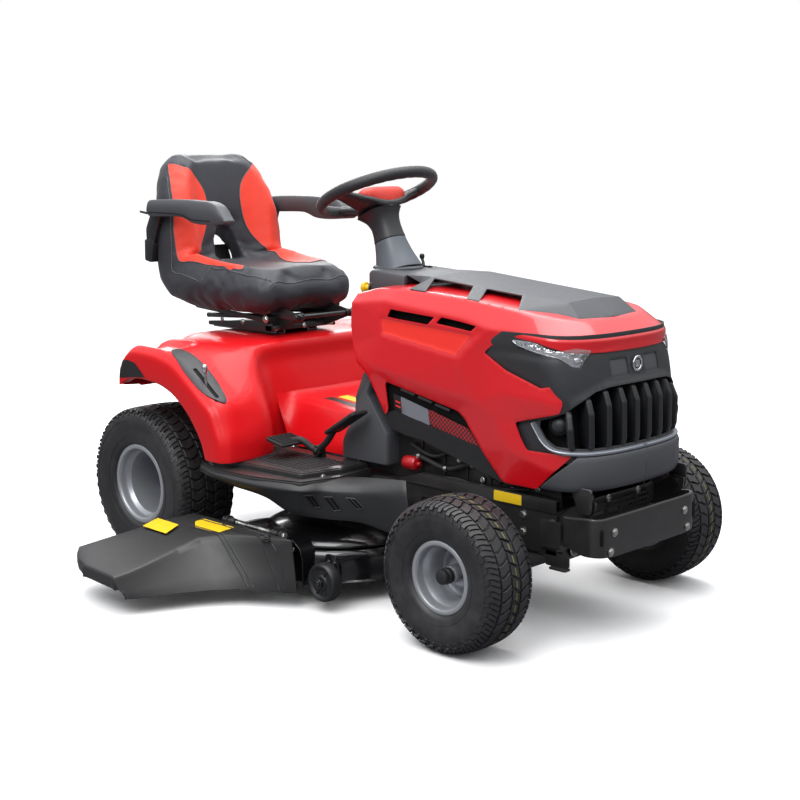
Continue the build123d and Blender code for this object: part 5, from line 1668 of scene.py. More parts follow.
def armrests():
    """Armrest pads, their brackets behind the back, and the pins they fold on."""
    line = [(-228, 1006, 1026), (-224, 1003, 1043), (-206, 1000, 1050), (-120, 1002, 1053), (-60, 1002, 1053),
            (-30, 996, 1053), (0, 986, 1052), (40, 982, 1050), (80, 982, 1048), (118, 984, 1036),
            (148, 986, 1006), (158, 990, 996)]
    rings = []
    for x, low, high in [tuple(p) for p in curve(line, 4)]:
        middle, tall = (low + high) / 2, (high - low) / 2
        wide = mix(23, 18, clamp((abs(x + 40) - 158) / 40))
        ring = []
        for dy, dz in ((-0.94, -0.7), (-1.06, 0.12), (-0.92, 0.8), (-0.72, 1), (0.72, 1), (0.92, 0.8),
                       (1.06, 0.12), (0.94, -0.7), (0.76, -1), (-0.76, -1)):
            ring.append((x, -245 + dy * wide, middle + dz * tall))
        rings.append(ring)
    pad = loft(rings)
    lip = tube(curve([(-222, -268, 1012), (-120, -268.6, 1012), (-40, -268.6, 1008), (0, -268.4, 996),
                      (90, -268, 993)], 8), 1.0, 6)
    for side, end in (("right", lambda m: m), ("left", mirrored)):
        piece(f"armrest_pad_{side}", end(pad), "grey_plastic", f"arm_{side}",
              f"armrest_{side}", bevel=2.5, steps=3, sharp=40)
        piece(f"armrest_line_{side}", end(lip), "void", f"arm_{side}")
    hinge_plate = slab(rounded([(-262, 915), (-228, 905), (-188, 1012), (-203, 1034), (-226, 1026),
                                (-264, 960)], 10),
                       -243, -232, "y")
    boss = revolve([(0, -228), (15, -228), (17, -232), (17, -246), (12, -249), (0, -249)], (-205, 0, 1020),
                   "y", 28)
    arm = tube(curve([(-244, -238, 930), (-252, -200, 922), (-246, -120, 916), (-236, -60, 905)], 8), 11, 12)
    stop = tube([(-262, -238, 1008), (-296, -238, 1012)], 4, 12)
    block_low = slab(rounded([(-268, 862), (-232, 856), (-222, 912), (-232, 932), (-266, 926)], 8), -248,
                     -218, "y")
    return both(joined(hinge_plate, boss, arm, stop, block_low))


def seat_frame():
    """Pan and bars under the cushion, and the sliding bracket on the platform."""
    brackets = armrests()
    side_bar = slab(rounded([(-186, 736), (-186, 748), (206, 748), (206, 722), (180, 714), (100, 716),
                             (-40, 728)], 6), -140, -133, "y")
    nose = slab(rounded([(198, 726), (205, 726), (205, 748), (198, 748)], 2), -133, 133, "y")
    under = slab(rounded([(-160, 722), (300, 698), (304, 716), (180, 740), (-160, 740)], 5), -104, -98, "y")
    rod_front = tube([(290, -108, 712), (290, -86, 712)], 10, 20)
    plate = slab(rounded([(-182, -138), (200, -138), (200, 138), (-182, 138)], 14), 738, 745)
    spine = slab(rounded([(-252, 890), (-206, 762), (-176, 738), (-176, 750), (-194, 770), (-244, 902)], 6),
                 -60, 60, "y")
    grommets = [revolve([(0, 0), (13, 0), (13, 5), (9, 10), (9, 18), (0, 18)], (x, -118, 720), "z", 20)
                for x in (-130, 0)]
    hooks = tube(curve([(-180, -110, 741), (-200, -110, 741), (-204, -110, 752)], 5), 6, 10)
    piece("seat_pan_frame",
          joined(both(joined(side_bar, under, rod_front, *grommets, hooks)), nose, plate, spine,
                 brackets), "black_steel", "seat", "seat_pan", bevel=1.2)
    ears = slab(rounded([(150, 666), (196, 666), (298, 702), (300, 722), (282, 724), (150, 692)], 6), -97,
                -90, "y")
    pin = tube([(290, -113, 712), (290, 113, 712)], 6, 20)
    nut = joined(bolt((290, -113, 712), (0, -1, 0), 9, 6))
    low = slab(rounded([(166, 664), (196, 664), (196, 680), (166, 680)], 4), -128, 128, "y")
    high = slab(rounded([(160, 692), (190, 692), (190, 708), (160, 708)], 4), -134, 128, "y")
    posts = slab(rounded([(168, 676), (188, 676), (188, 696), (168, 696)], 2), -122, -96, "y")
    sheet_metal = slab(rounded([(-110, -96), (172, -96), (172, 96), (-110, 96)], 10), 661, 667)
    wall = slab(rounded([(-110, 662), (198, 662), (198, 686), (120, 692), (-110, 674)], 5), -128, -121, "y")
    rail_top = slab(rounded([(-168, 712), (164, 690), (164, 704), (-168, 724)], 4), -132, -125, "y")
    runner = slab(rounded([(-100, 656.4), (160, 656.4), (160, 663), (-100, 663)], 1), -75, -55, "y")
    handle = tube(curve([(180, -104, 676), (212, -116, 676), (228, -128, 678), (232, -150, 680)], 6), 5, 12)
    link = tube([(-130, -112, 690), (150, -112, 706)], 8, 12)
    piece("seat_slide_bracket",
          joined(both(joined(ears, wall, rail_top, nut, runner, link, posts)), pin, low, high,
                 sheet_metal, handle), "black_steel", "seat_base", "seat_slide", bevel=1.0)
    base = slab([(-140, 650.3), (160, 650.3), (160, 653), (-140, 653)], -85, -45, "y")
    lips = [slab([(-140, 653), (160, 653), (160, 660), (-140, 660)], y, y + 6, "y") for y in (-85, -51)]
    bolts = [bolt((x, -65, 653), (0, 0, 1), 6, 2.6) for x in (-120, 140)]
    piece("seat_runner_rails", both(joined(base, *lips, *bolts)), "steel", "chassis",
          "seat_rails", bevel=0.6)
    bolts = [bolt((x, y, 684), (0, 1 if y > 0 else -1, 0), 6, 4) for x in (-40, 60) for y in (-128, 128)]
    bolts += [bolt((197, y, 672), (1, 0, 0), 6, 4) for y in (-112, 0, 112)]
    bolts += [bolt((175, -134, 700), (0, -1, 0), 9, 5)]
    piece("seat_bracket_bolts", joined(*bolts), "zinc", "seat_base")


MAKERS += [bucket, seat_frame]


# ---- steering column, wheel and dash ----
def on_column(distance):
    a = math.radians(21.3)
    return Vector((518 + distance * math.sin(a), 0, 1076 - distance * math.cos(a)))


def column_frame(point, distance):
    """Carries (right, forward, along) about the column's axis into space."""
    a = math.radians(21.3)
    base = on_column(distance)
    forward = Vector((math.cos(a), 0, math.sin(a)))
    return tuple(base + Vector((0, point[0], 0)) + forward * point[1])


def column_rings(rows, count=40):
    """Rows: distance, half width, half depth forward, half depth rearward."""
    rings = []
    for distance, wide, ahead, behind in [tuple(p) for p in rows]:
        ring = []
        for k in range(count):
            a = math.tau * k / count
            c, s = math.cos(a), math.sin(a)
            power = lambda t: math.copysign(abs(t) ** 0.82, t)
            ring.append(column_frame((wide * power(c), (ahead if s > 0 else behind) * power(s)), distance))
        rings.append(ring)
    return rings


def tapered(rows, steps):
    """Smooth rows of four numbers."""
    a = curve([(r[0], r[1], 0) for r in rows], steps)
    b = curve([(r[0], r[2], 0) for r in rows], steps)
    c = curve([(r[0], r[3], 0) for r in rows], steps)
    return [(p[0], p[1], q[1], r[1]) for p, q, r in zip(a, b, c)]


def column():
    """Cone on the dash, the collar that flares under the wheel, and the shaft."""
    rows = tapered([(236, 66, 66, 60), (222, 61, 62, 58), (196, 53, 54, 52), (168, 46.5, 47, 46),
                    (142, 42, 42, 42)], 5)
    piece("column_cone_cover", loft(column_rings(rows)), "cone_plastic", "chassis",
          "column_cone", bevel=1.5, sharp=50)
    rows = tapered([(142, 43, 43, 43), (120, 40, 40, 41), (98, 39, 39, 44), (78, 42, 41, 55),
                    (62, 50, 46, 72), (54, 56, 50, 82)], 5)
    piece("column_collar_cover", loft(column_rings(rows)), "dark_plastic", "chassis",
          "column_collar", bevel=1.5, sharp=50)
    groove_ring = column_rings([(143.6, 42.6, 42.6, 42.6), (141.4, 42.6, 42.6, 42.6)])
    piece("column_joint", loft(groove_ring), "void", "chassis", bevel=0.3)
    shaft = tube([tuple(on_column(d)) for d in (8, 50, 380)], 9.5, 20)
    piece("steering_column_shaft", shaft, "steel", "wheel", "steering_shaft")


def wheel_point(radius, angle, up):
    """Point of the steering wheel: angle from the right-hand side of the driver towards the front."""
    a = math.radians(21.3)
    forward = Vector((math.cos(a), 0, math.sin(a)))
    axis = Vector((-math.sin(a), 0, math.cos(a)))
    p = Vector((518, 0, 1076)) + axis * up
    p += forward * (radius * math.cos(angle)) + Vector((0, 1, 0)) * (radius * math.sin(angle))
    return p


def steering_wheel():
    """Oval grip rim with joints, a Y-shaped spider with a shield pad, and its boss."""
    rings = []
    count, around = 96, 18
    for k in range(count):
        a = math.tau * k / count
        seam = min(abs((math.degrees(a) - j + 180) % 360 - 180) for j in (62, 118, 180, 242, 298))
        fat = 16.6 - 1.6 * math.exp(-(seam / 1.6) ** 2)
        ring = []
        for j in range(around):
            b = math.tau * j / around
            grip = 1.0 if -1.2 > math.sin(b) else 1 - 0.05 * (math.sin(b) < -0.5) * (k % 3 == 0)
            ring.append(tuple(wheel_point(163 + fat * 0.94 * grip * math.cos(b), a,
                                          fat * grip * math.sin(b))))
        rings.append(ring)
    piece("steering_rim", loft(rings + rings[:1], caps=False), "grip", "wheel", "steering_wheel",
          weld=0.05, bevel=0)
    seams = []
    for deg in (62, 118, 180, 242, 298):
        a = math.radians(deg)
        seams.append(tube([tuple(wheel_point(163 + 13.6 * math.cos(b), a, 13.8 * math.sin(b)))
                           for b in (math.tau * j / 24 for j in range(25))], 0.9, 6))
    piece("steering_rim_joints", joined(*seams), "void", "wheel")
    spokes = []
    for centre in (90, 180, 270):
        rows = []
        for radius, half, thick, up in ((26, 42, 11, -38), (60, 38, 11, -32), (95, 30, 10, -19),
                                        (130, 23, 8.5, -7), (158, 20, 8.5, 0)):
            a0 = math.radians(centre)
            ring = []
            for v, w in ((-1, -0.6), (-1, 0.3), (-0.8, 1), (0.8, 1), (1, 0.3), (1, -0.6), (0.8, -1),
                         (-0.8, -1)):
                base = wheel_point(radius, a0, up + w * thick)
                across = wheel_point(1, a0 + math.pi / 2, 0) - wheel_point(0, 0, 0)
                ring.append(tuple(base + across * (v * half)))
            rows.append(ring)
        smooth_rows = [curve([row[k] for row in rows], 5) for k in range(8)]
        spokes.append(loft([[col[r] for col in smooth_rows] for r in range(len(smooth_rows[0]))]))
    boss = [[tuple(wheel_point(r, math.tau * j / 40, up)) for j in range(40)]
            for r, up in ((40, -66), (46, -62), (47, -56), (42, -46), (34, -38), (20, -36))]
    piece("steering_spider", joined(*spokes, loft(boss)), "dark_plastic", "wheel", bevel=2.0, steps=3,
          sharp=45)
    half = [(42, 0), (42, 40), (38, 66), (24, 84), (4, 82), (-24, 62), (-52, 40), (-74, 18), (-78, 0)]
    shield = half + [(u, -v) for u, v in reversed(half[1:-1])]
    loop = [(p[0], p[1]) for p in curve([(u, v, 0) for u, v in shield + shield[:1]], 5)][:-1]

    def layers(levels):
        """Copies of the shield at several heights; the low ones rise towards the grips."""
        return [[tuple(wheel_point(math.hypot(u, v) * scale, math.atan2(v, u), up + bend * (v / 84) ** 2))
                 for u, v in loop] for scale, up, bend in levels]

    piece("steering_pad",
          loft(layers([(0.97, -40, 24), (1.0, -36, 22), (1.0, -10, 4), (0.96, -1, 0), (0.88, 5, 0),
                       (0.5, 8, 0)])), "pad_red", "wheel", bevel=1.0, sharp=60)
    piece("steering_pad_frame",
          loft(layers([(0.6, -60, 30), (0.96, -57, 28), (1.07, -51, 26), (1.07, -43, 24),
                       (1.03, -38, 23)])), "dark_plastic", "wheel", bevel=1.2, sharp=50)


def dash():
    """Dash tower: the top round the column, its legs to the foot boards, and the seams between them."""
    legs_inner = [(572, 354), (576, 400), (582, 440), (586, 480), (590, 520), (602, 640), (592, 700),
                  (578, 770), (584, 800), (600, 812), (628, 812), (650, 640), (670, 542), (735, 490),
                  (775, 442), (775, 354)]
    legs_outer = [(600, 354), (600, 400), (618, 436), (648, 462), (656, 520), (652, 600), (632, 650),
                  (612, 770), (606, 800), (614, 812), (640, 812), (692, 640), (702, 542), (740, 490),
                  (775, 442), (775, 354)]
    rings = []
    for y, pull in ((-222, 6), (-217, 1.5), (-208, 0), (-180, 0), (-150, -0.5), (-120, -1.0), (0, -1.5),
                    (120, -1.0), (150, -0.5), (180, 0), (208, 0), (217, 1.5), (222, 6)):
        outer = smooth((abs(y) - 120) / 88)
        loop = rounded([(mix(a[0], b[0], outer), mix(a[1], b[1], outer))
                        for a, b in zip(legs_inner, legs_outer)], 9, 4)
        cx, cz = 655, 560
        rings.append([(x + (cx - x) * pull / 160, y * mix(1.0, 0.77, smooth((z - 555) / 60)),
                       z + (cz - z) * pull / 260) for x, z in loop])
    piece("console_tower", loft(rings), "grey_plastic", "chassis", "console", sharp=40,
          bevel=0.8)
    plan = [(520, -38, 40), (540, -48, 12), (574, -63, 12), (592, -100, 10), (614, -113, 14), (742, -120, 2),
            (742, 120, 2), (614, 113, 14), (592, 100, 10), (574, 63, 12), (540, 48, 12), (520, 38, 40)]
    loop = rounded(plan, 10, 4)
    rows = []
    for scale, drop in ((0.90, 0), (0.97, 2), (1.0, 8), (1.0, 40), (0.99, 66), (0.93, 84)):
        row = []
        for x, y in loop:
            top = table([(520, 856), (560, 868), (640, 870), (742, 862)], x)
            row.append((640 + (x - 640) * scale, y * scale, max(top - drop, 780)))
        rows.append(row)
    piece("dash_top", loft(rows), "grey_plastic", "chassis", sharp=50, bevel=1.0)
    base = [[(598 + r * 1.05 * math.cos(a) + (6 if math.cos(a) > 0 else 0), r * math.sin(a), z)
             for a in (math.tau * j / 40 for j in range(40))]
            for r, z in ((68, 866), (67, 871), (64, 874), (58, 875))]
    piece("column_base_ring", loft(base), "grey_plastic", "chassis", bevel=1.0, sharp=50)
    # Near-black slab on the dash top where the throttle runs: painted shade in its slot.
    slot = slab(rounded([(598, 61), (664, 61), (664, 79), (598, 79)], 6), 868.5, 870.8)
    piece("throttle_slot_shade", slot, "void", "chassis", bevel=0.4)
    marks = [slab(rounded([(604 + 14 * k, 84), (606.5 + 14 * k, 84), (606.5 + 14 * k, 92),
                           (604 + 14 * k, 92)],
                          0.8),
                  868, 871) for k in range(5)]
    piece("throttle_marks", joined(*marks), "label_white", "chassis", bevel=0.2)
    stem = tube(curve([(640, 70, 845), (634, 72, 862), (627, 76, 878), (621, 77, 892)], 6),
                [3.6] * 8 + [4.2] * 20, 12)
    cap = revolve([(0, -2), (6, 0), (7.5, 5), (7, 11), (4.5, 14), (0, 15)], (621, 77, 890), "z", 24)
    eye = revolve([(2.6, -5), (7, -5), (7, 5), (2.6, 5)], (640, 70, 845), "y", 20)
    piece("throttle_handle", joined(stem, cap, eye), "black_plastic", "throttle_body",
          "throttle_lever", bevel=0.5)
    bezel = revolve([(5, 0), (15, 0), (15, 3), (12, 6), (5, 6)], (567, 70, 815), "x", 32)
    bezel = [turned(p, (567, 70, 815), 180, "Z") for p in bezel[0]], bezel[1]
    piece("key_bezel", bezel, "chrome", "chassis", bevel=0.4)
    shank = slab(rounded([(538, 812.4), (580, 812.4), (580, 817.6), (538, 817.6)], 1), 69, 71, "y")
    bow = slab(rounded([(513, 803), (538, 801), (540, 829), (513, 827)], 8), 67.4, 72.6, "y")
    piece("key_blade", joined(shank, bow), "black_plastic", "key_body", "ignition_key", bevel=0.8)
    ring = revolve([(6, 0), (20, 0), (20, 2.5), (17, 5), (6, 5)], (586, -84, 815), "x", 32)
    piece("knob_bezel", ring, "black_plastic", "chassis", bevel=0.4)
    knob = revolve([(0, 546), (9, 546), (13.5, 548), (15.6, 551.5), (15.6, 557), (13, 560.5), (9, 562),
                    (7, 566), (6.4, 574), (5, 578), (5, 606), (0, 606)], (0, -84, 815), "x", 40)
    piece("blade_knob_cap", knob, "yellow_plastic", "knob_body", "blade_knob", bevel=0.5)


MAKERS += [column, steering_wheel, dash]


# ---- mower deck, blades, gauge wheels and chute ----
DECK_X, BLADE_Y = 585, 218


def stadium(radius, height, steps=28):
    """Loop round both spindles at a radius."""
    loop = []
    for k in range(steps + 1):
        a = math.pi * k / steps
        loop.append((DECK_X + radius * math.cos(a), BLADE_Y + radius * math.sin(a), height))
    for k in range(steps + 1):
        a = math.pi + math.pi * k / steps
        loop.append((DECK_X + radius * math.cos(a), -BLADE_Y + radius * math.sin(a), height))
    return loop


def circle(x, y, radius, steps=32):
    return [(x + radius * math.cos(math.tau * k / steps), y + radius * math.sin(math.tau * k / steps))
            for k in range(steps)]


def without(mesh, test):
    """A mesh less the faces whose middle passes the test."""
    points, faces = mesh
    kept = []
    for face in faces:
        middle = [sum(points[i][axis] for i in face) / len(face) for axis in range(3)]
        if not test(*middle):
            kept.append(face)
    return points, kept


def deck():
    """Pressed shell with a rolled hem, its discharge duct, spindle housings and brackets."""
    rows = [(236, 60.5), (237.5, 62), (236, 64), (232.5, 67), (232, 90), (232, 118), (230.5, 130), (226, 140),
            (218, 147.5), (206, 151), (182, 152)]
    side = loft([stadium(r, z) for r, z in rows], caps=False)
    side = without(side, lambda x, y, z: y < -400 and 400 < x < 642 and z < 149)
    top = sheet([(p[0], p[1]) for p in stadium(182, 0)], lambda u, v: (u, v, 152),
                [circle(DECK_X, y, 30) for y in (-BLADE_Y, BLADE_Y)], spacing=26)
    duct_line = [(396, 62), (396, 140), (400, 162), (412, 176), (440, 181), (620, 181), (662, 176),
                 (688, 158), (698, 132), (700, 62)]
    rings = []
    for y, grow, high in ((-300, 0, -20), (-340, 0, -4), (-380, 0, 0), (-452, 0, 0), (-460, 1.5, 1),
                          (-465, 2, 1.5)):
        rings.append([(x + (-grow if x < 500 else grow), y, z + (high if z > 120 else 0))
                      for x, z in duct_line])
    duct = loft(rings, caps=False, closed=False)
    piece("deck_pressing", joined(side, top), "deck_paint", "deck", "deck_shell", skin=3,
          bevel=0.8, weld=0.3, outward=(0, 0, 1), sharp=50)
    piece("deck_duct", duct, "deck_paint", "deck", skin=3, bevel=0.8, weld=0.3,
          outward=(0, 0, 1), sharp=50)
    parts = []
    for sign in (-1, 1):
        parts.append(revolve([(14, 148), (60, 152), (58, 158), (44, 161), (40, 166), (31, 168), (14, 168)],
                             (DECK_X, sign * BLADE_Y, 0), "z", 40))
        for k in range(6):
            a = math.tau * k / 6
            parts.append(bolt((DECK_X + 50 * math.cos(a), sign * BLADE_Y + 50 * math.sin(a), 159), (0, 0, 1),
                              5, 4))
    for sign in (-1, 1):
        plate = slab(rounded([(738, 66), (786, 66), (790, 100), (782, 148), (742, 148), (734, 100)], 8),
                     sign * GAUGE_IN - 3, sign * GAUGE_IN + 3, "y")
        low, high = sorted((sign * 318, sign * (GAUGE_IN - 2)))
        strut = slab(rounded([(738, low), (786, low), (786, high), (738, high)], 3), 128, 136)
        brace = slab(rounded([(740, 66), (746, 66), (746, 132), (740, 132)], 1), low, high, "y")
        pin = tube([(762, sign * 414, 80), (762, sign * 466, 80)], 8, 20)
        parts += [plate, strut, brace, pin, bolt((762, sign * 466, 80), (0, sign, 0), 9.5, 6)]
        for x in (752, 774):
            parts.append(bolt((x, sign * GAUGE_IN + sign * 3, 126), (0, sign, 0), 6, 5))
    piece("deck_fittings", joined(*parts), "deck_paint", "deck", bevel=1.0)
    cover = [stadium(r, z)
             for r, z in ((222, 153), (220, 160), (206, 172), (180, 184), (150, 193), (110, 200),
                          (70, 203))]
    flat = sheet([(p[0], p[1]) for p in stadium(70, 0)], lambda u, v: (u, v, 203), spacing=40)
    piece("belt_cover", joined(loft(cover, caps=False), flat), "deck_paint", "deck", skin=2.5, weld=0.3,
          outward=(0, 0, 1), bevel=0.6, sharp=50)
    caps = [bolt((DECK_X + x, sign * (BLADE_Y + 30), 203), (0, 0, 1), 6, 4) for x in (-60, 60)
            for sign in (-1, 1)]
    piece("belt_cover_screws", joined(*caps), "zinc", "deck")
    ears = [slab(rounded([(-486, 148), (-446, 148), (-452, 188), (-466, 202), (-482, 202), (-488, 190)], 6),
                 x, x + 6, "x") for x in (404, 630)]
    feet = [slab(rounded([(x, -486), (x + 26, -486), (x + 26, -440), (x, -440)], 4), 157, 161)
            for x in (386, 628)]
    rod_line = tube([(398, -478, 190), (644, -478, 190)], 4, 16)
    piece("chute_hinge_brackets", joined(*ears, *feet), "black_steel", "deck", bevel=1)
    coils = []
    for x0, x1 in ((448, 492), (546, 590)):
        turns, steps = 8, 8 * 14
        path = [(mix(x0, x1, k / steps), -478 + 7.4 * math.cos(math.tau * k * turns / steps),
                 190 + 7.4 * math.sin(math.tau * k * turns / steps)) for k in range(steps + 1)]
        coils.append(tube(path, 1.3, 6))
    nuts = [bolt((x, -478, 190), (s, 0, 0), 8.5, 6) for x, s in ((398, -1), (644, 1))]
    nuts += [bolt((x, -458, 161), (0, 0, 1), 7, 6) for x in (394, 641)]
    piece("chute_rod", joined(rod_line, *coils, *nuts), "zinc", "deck")
    eyes = []
    for x in (430, 700):
        for sign in (-1, 1):
            eyes.append(slab(rounded([(x - 16, 150), (x + 16, 150), (x + 10, 186), (x - 10, 186)], 6),
                             sign * 150 - 3, sign * 150 + 3, "y"))
            eyes.append(bolt((x, sign * 154, 174), (0, sign, 0), 7, 5))
    piece("deck_hangers", joined(*eyes), "black_steel", "deck", bevel=0.8)


GAUGE_IN = 417


def blades():
    """Each spindle with its pulley above the deck and its twisted blade below."""
    for side, y in (("right", -BLADE_Y), ("left", BLADE_Y)):
        rings = []
        for k in range(33):
            t = -1 + k / 16
            rise = 9 * smooth((abs(t) - 0.62) / 0.3)
            half = 27 - 6 * smooth((abs(t) - 0.9) / 0.1)
            heel = 1 if t > 0 else -1
            rings.append([(DECK_X - half, y + t * 212, 75 + (rise if heel > 0 else 0)),
                          (DECK_X - half, y + t * 212, 80 + (rise if heel > 0 else 0)),
                          (DECK_X + half, y + t * 212, 80 + (rise if heel < 0 else 0)),
                          (DECK_X + half, y + t * 212, 75 + (rise if heel < 0 else 0))])
        shaft = revolve([(0, 66), (12, 66), (12, 74), (22, 74), (22, 82), (12.4, 82), (12.4, 178), (0, 178)],
                        (DECK_X, y, 0), "z", 32)
        nut = bolt((DECK_X, y, 67), (0, 0, -1), 14, 8)
        pulley = revolve([(12.5, 172), (62, 172), (66, 174), (66, 176), (50, 181), (66, 186), (66, 188),
                          (62, 190), (30, 190), (30, 184), (12.5, 184)], (DECK_X, y, 0), "z", 48)
        cap = bolt((DECK_X, y, 184), (0, 0, 1), 13, 8)
        piece(f"spindle_{side}", joined(shaft, nut, pulley, cap), "steel", f"cutter_{side}",
              f"blade_{side}", bevel=0.6)
        piece(f"cutting_blade_{side}", loft(rings), "black_steel", f"cutter_{side}", bevel=0.8)


def gauge_wheels():
    for side, sign in (("right", -1), ("left", 1)):
        profile = [(8.2, -16), (20, -16), (22, -12), (36, -11), (40, -15), (44, -17.5), (48.5, -16.5),
                   (51, -12), (52, -5), (52, 5), (51, 12), (48.5, 16.5), (44, 17.5), (40, 15), (36, 11),
                   (22, 12), (20, 16), (8.2, 16)]
        wheel = revolve(profile, (762, sign * 442, 80), "y", 56)
        spokes = []
        for k in range(6):
            a = math.tau * k / 6
            c, s = math.cos(a), math.sin(a)
            for face in (-1, 1):
                low, high = sorted((sign * 442 + face * 10, sign * 442 + face * 14.5))
                quad = [(762 + r * c + w * s, 80 + r * s - w * c)
                        for r, w in ((21, -2), (38, -1.4), (38, 1.4), (21, 2))]
                spokes.append(slab(quad, low, high, "y"))
        piece(f"gauge_tyre_{side}", joined(wheel, *spokes), "black_plastic", f"gauge_{side}",
              f"gauge_wheel_{side}", bevel=0.8)


CHUTE_STATIONS = [
    ((262, -489), (686, -489), (704, -489)), ((252, -500), (646, -500), (688, -500)),
    ((240, -518), (584, -514), (644, -522)), ((222, -548), (486, -546), (566, -571)),
    ((201, -592), (428, -590), (520, -626)), ((172, -660), (421, -660), (486, -690)),
    ((143, -725), (418, -725), (458, -755)), ((122, -776), (414, -778), (440, -794)),
    ((150, -800), (409, -806), (434, -808)), ((196, -824), (402, -830), (427, -818)),
    ((240, -838), (396, -846), (421, -828)),
]


def chute_top(y):
    return 190 + (y + 478) * math.tan(math.radians(12.9))


def chute_row(rear, ridge, low, drop=0.0):
    rear_z, ridge_z = chute_top(rear[1]) - drop, chute_top(ridge[1]) - drop
    row = [(rear[0] - 3, rear[1], rear_z - 30), (rear[0] - 2, rear[1], rear_z - 8),
           (rear[0], rear[1], rear_z - 2), (rear[0] + 7, rear[1], rear_z)]
    for t in (0.2, 0.4, 0.6, 0.8, 0.94):
        row.append((mix(rear[0], ridge[0], t), mix(rear[1], ridge[1], t), mix(rear_z, ridge_z, t) + 1.0))
    row += [(ridge[0] - 8, ridge[1], ridge_z), (ridge[0], ridge[1], ridge_z - 2.5)]
    for t in (0.12, 0.4, 0.7, 1.0):
        row.append((mix(ridge[0], low[0], t), mix(ridge[1], low[1], t), mix(ridge_z - 4, 47, t)))
    return row


def chute_guard():
    """Discharge chute: sloping top, front facet below its ridge, ribs, hinge knuckles and blank stickers."""
    lines = [chute_row(*s) for s in CHUTE_STATIONS]
    lip = chute_row(*CHUTE_STATIONS[-1])
    for step, drop in ((-3, 5), (-2, 34)):
        lines.append([(x, y + step, min(z, max(z - drop, chute_top(y) - 36))) for x, y, z in lip])
    shell = piece("chute_guard", loft(lines, caps=False, closed=False), "chute_plastic", "chute_body",
                  "chute", skin=4, bevel=1.4, weld=0.3, outward=(0, 0, 1), sharp=28)
    tree = surface_tree(shell)
    ribs = []
    for y, start, end in ((-556, 330, 466), (-548, 330, 474), (-512, 330, 590), (-504, 330, 600)):
        path = [cast(tree, (mix(start, end, t / 8), y, 400), (0, 0, -1), 0.6) for t in range(9)]
        path += [cast(tree, (900, y, z), (-1, 0, 0), 0.6) for z in (158, 140, 115, 90, 65, 52)]
        ribs.append(tube(curve([tuple(p) for p in path], 3), 2.6, 8))
    piece("chute_ribs", joined(*ribs), "chute_plastic", "chute_body", bevel=0)
    knuckles = []
    for x in (416, 596):
        barrel = revolve([(4.1, 0), (9.5, 0), (9.5, 26), (4.1, 26)], (x, -478, 190), "x", 28)
        leaf = slab(rounded([(x, -520), (x + 26, -520), (x + 26, -480), (x, -480)], 3), 183.5, 187.5)
        tilted = [turned(p, (0, -478, 190), 12.9, "X") for p in leaf[0]], leaf[1]
        knuckles += [barrel, tilted, bolt((x + 13, -506, 184), (0, -0.22, 0.97), 7, 6)]
    piece("chute_knuckles", joined(*knuckles), "black_steel", "chute_body", bevel=0.5)
    for name, lift, outline in (("square", -0.6, [(207, -622), (318, -624), (306, -571), (205, -569)]),
                                ("clipped", 1.3,
                                 [(356, -552), (326, -530), (336, -506), (400, -504), (470, -507),
                                  (452, -550)])):
        loop = rounded(outline, 3)
        rise = max(cast(tree, (u, v, 400), (0, 0, -1), 0)[2] - chute_top(v) for u, v in [p[:2] for p in loop])
        points, faces = slab(loop, lift, lift + 0.8)
        sticker = [(x, y, z + rise + chute_top(y)) for x, y, z in points], faces
        piece(f"chute_sticker_{name}", sticker, "label_yellow", "chute_body", bevel=0)


MAKERS += [deck, blades, gauge_wheels, chute_guard]


# ---- frame, bumper and front axle ----
def channel(web, y, depth, thickness, flanges):
    """Channel along a rail: its web as a slab and its flanges as strips turned inwards."""
    parts = [slab(rounded(web, 2), y, y + thickness, "y")]
    for x0, x1, z in flanges:
        parts.append(slab([(x0, y), (x1, y), (x1, y + depth), (x0, y + depth)], z, z + 3))
    return joined(*parts)


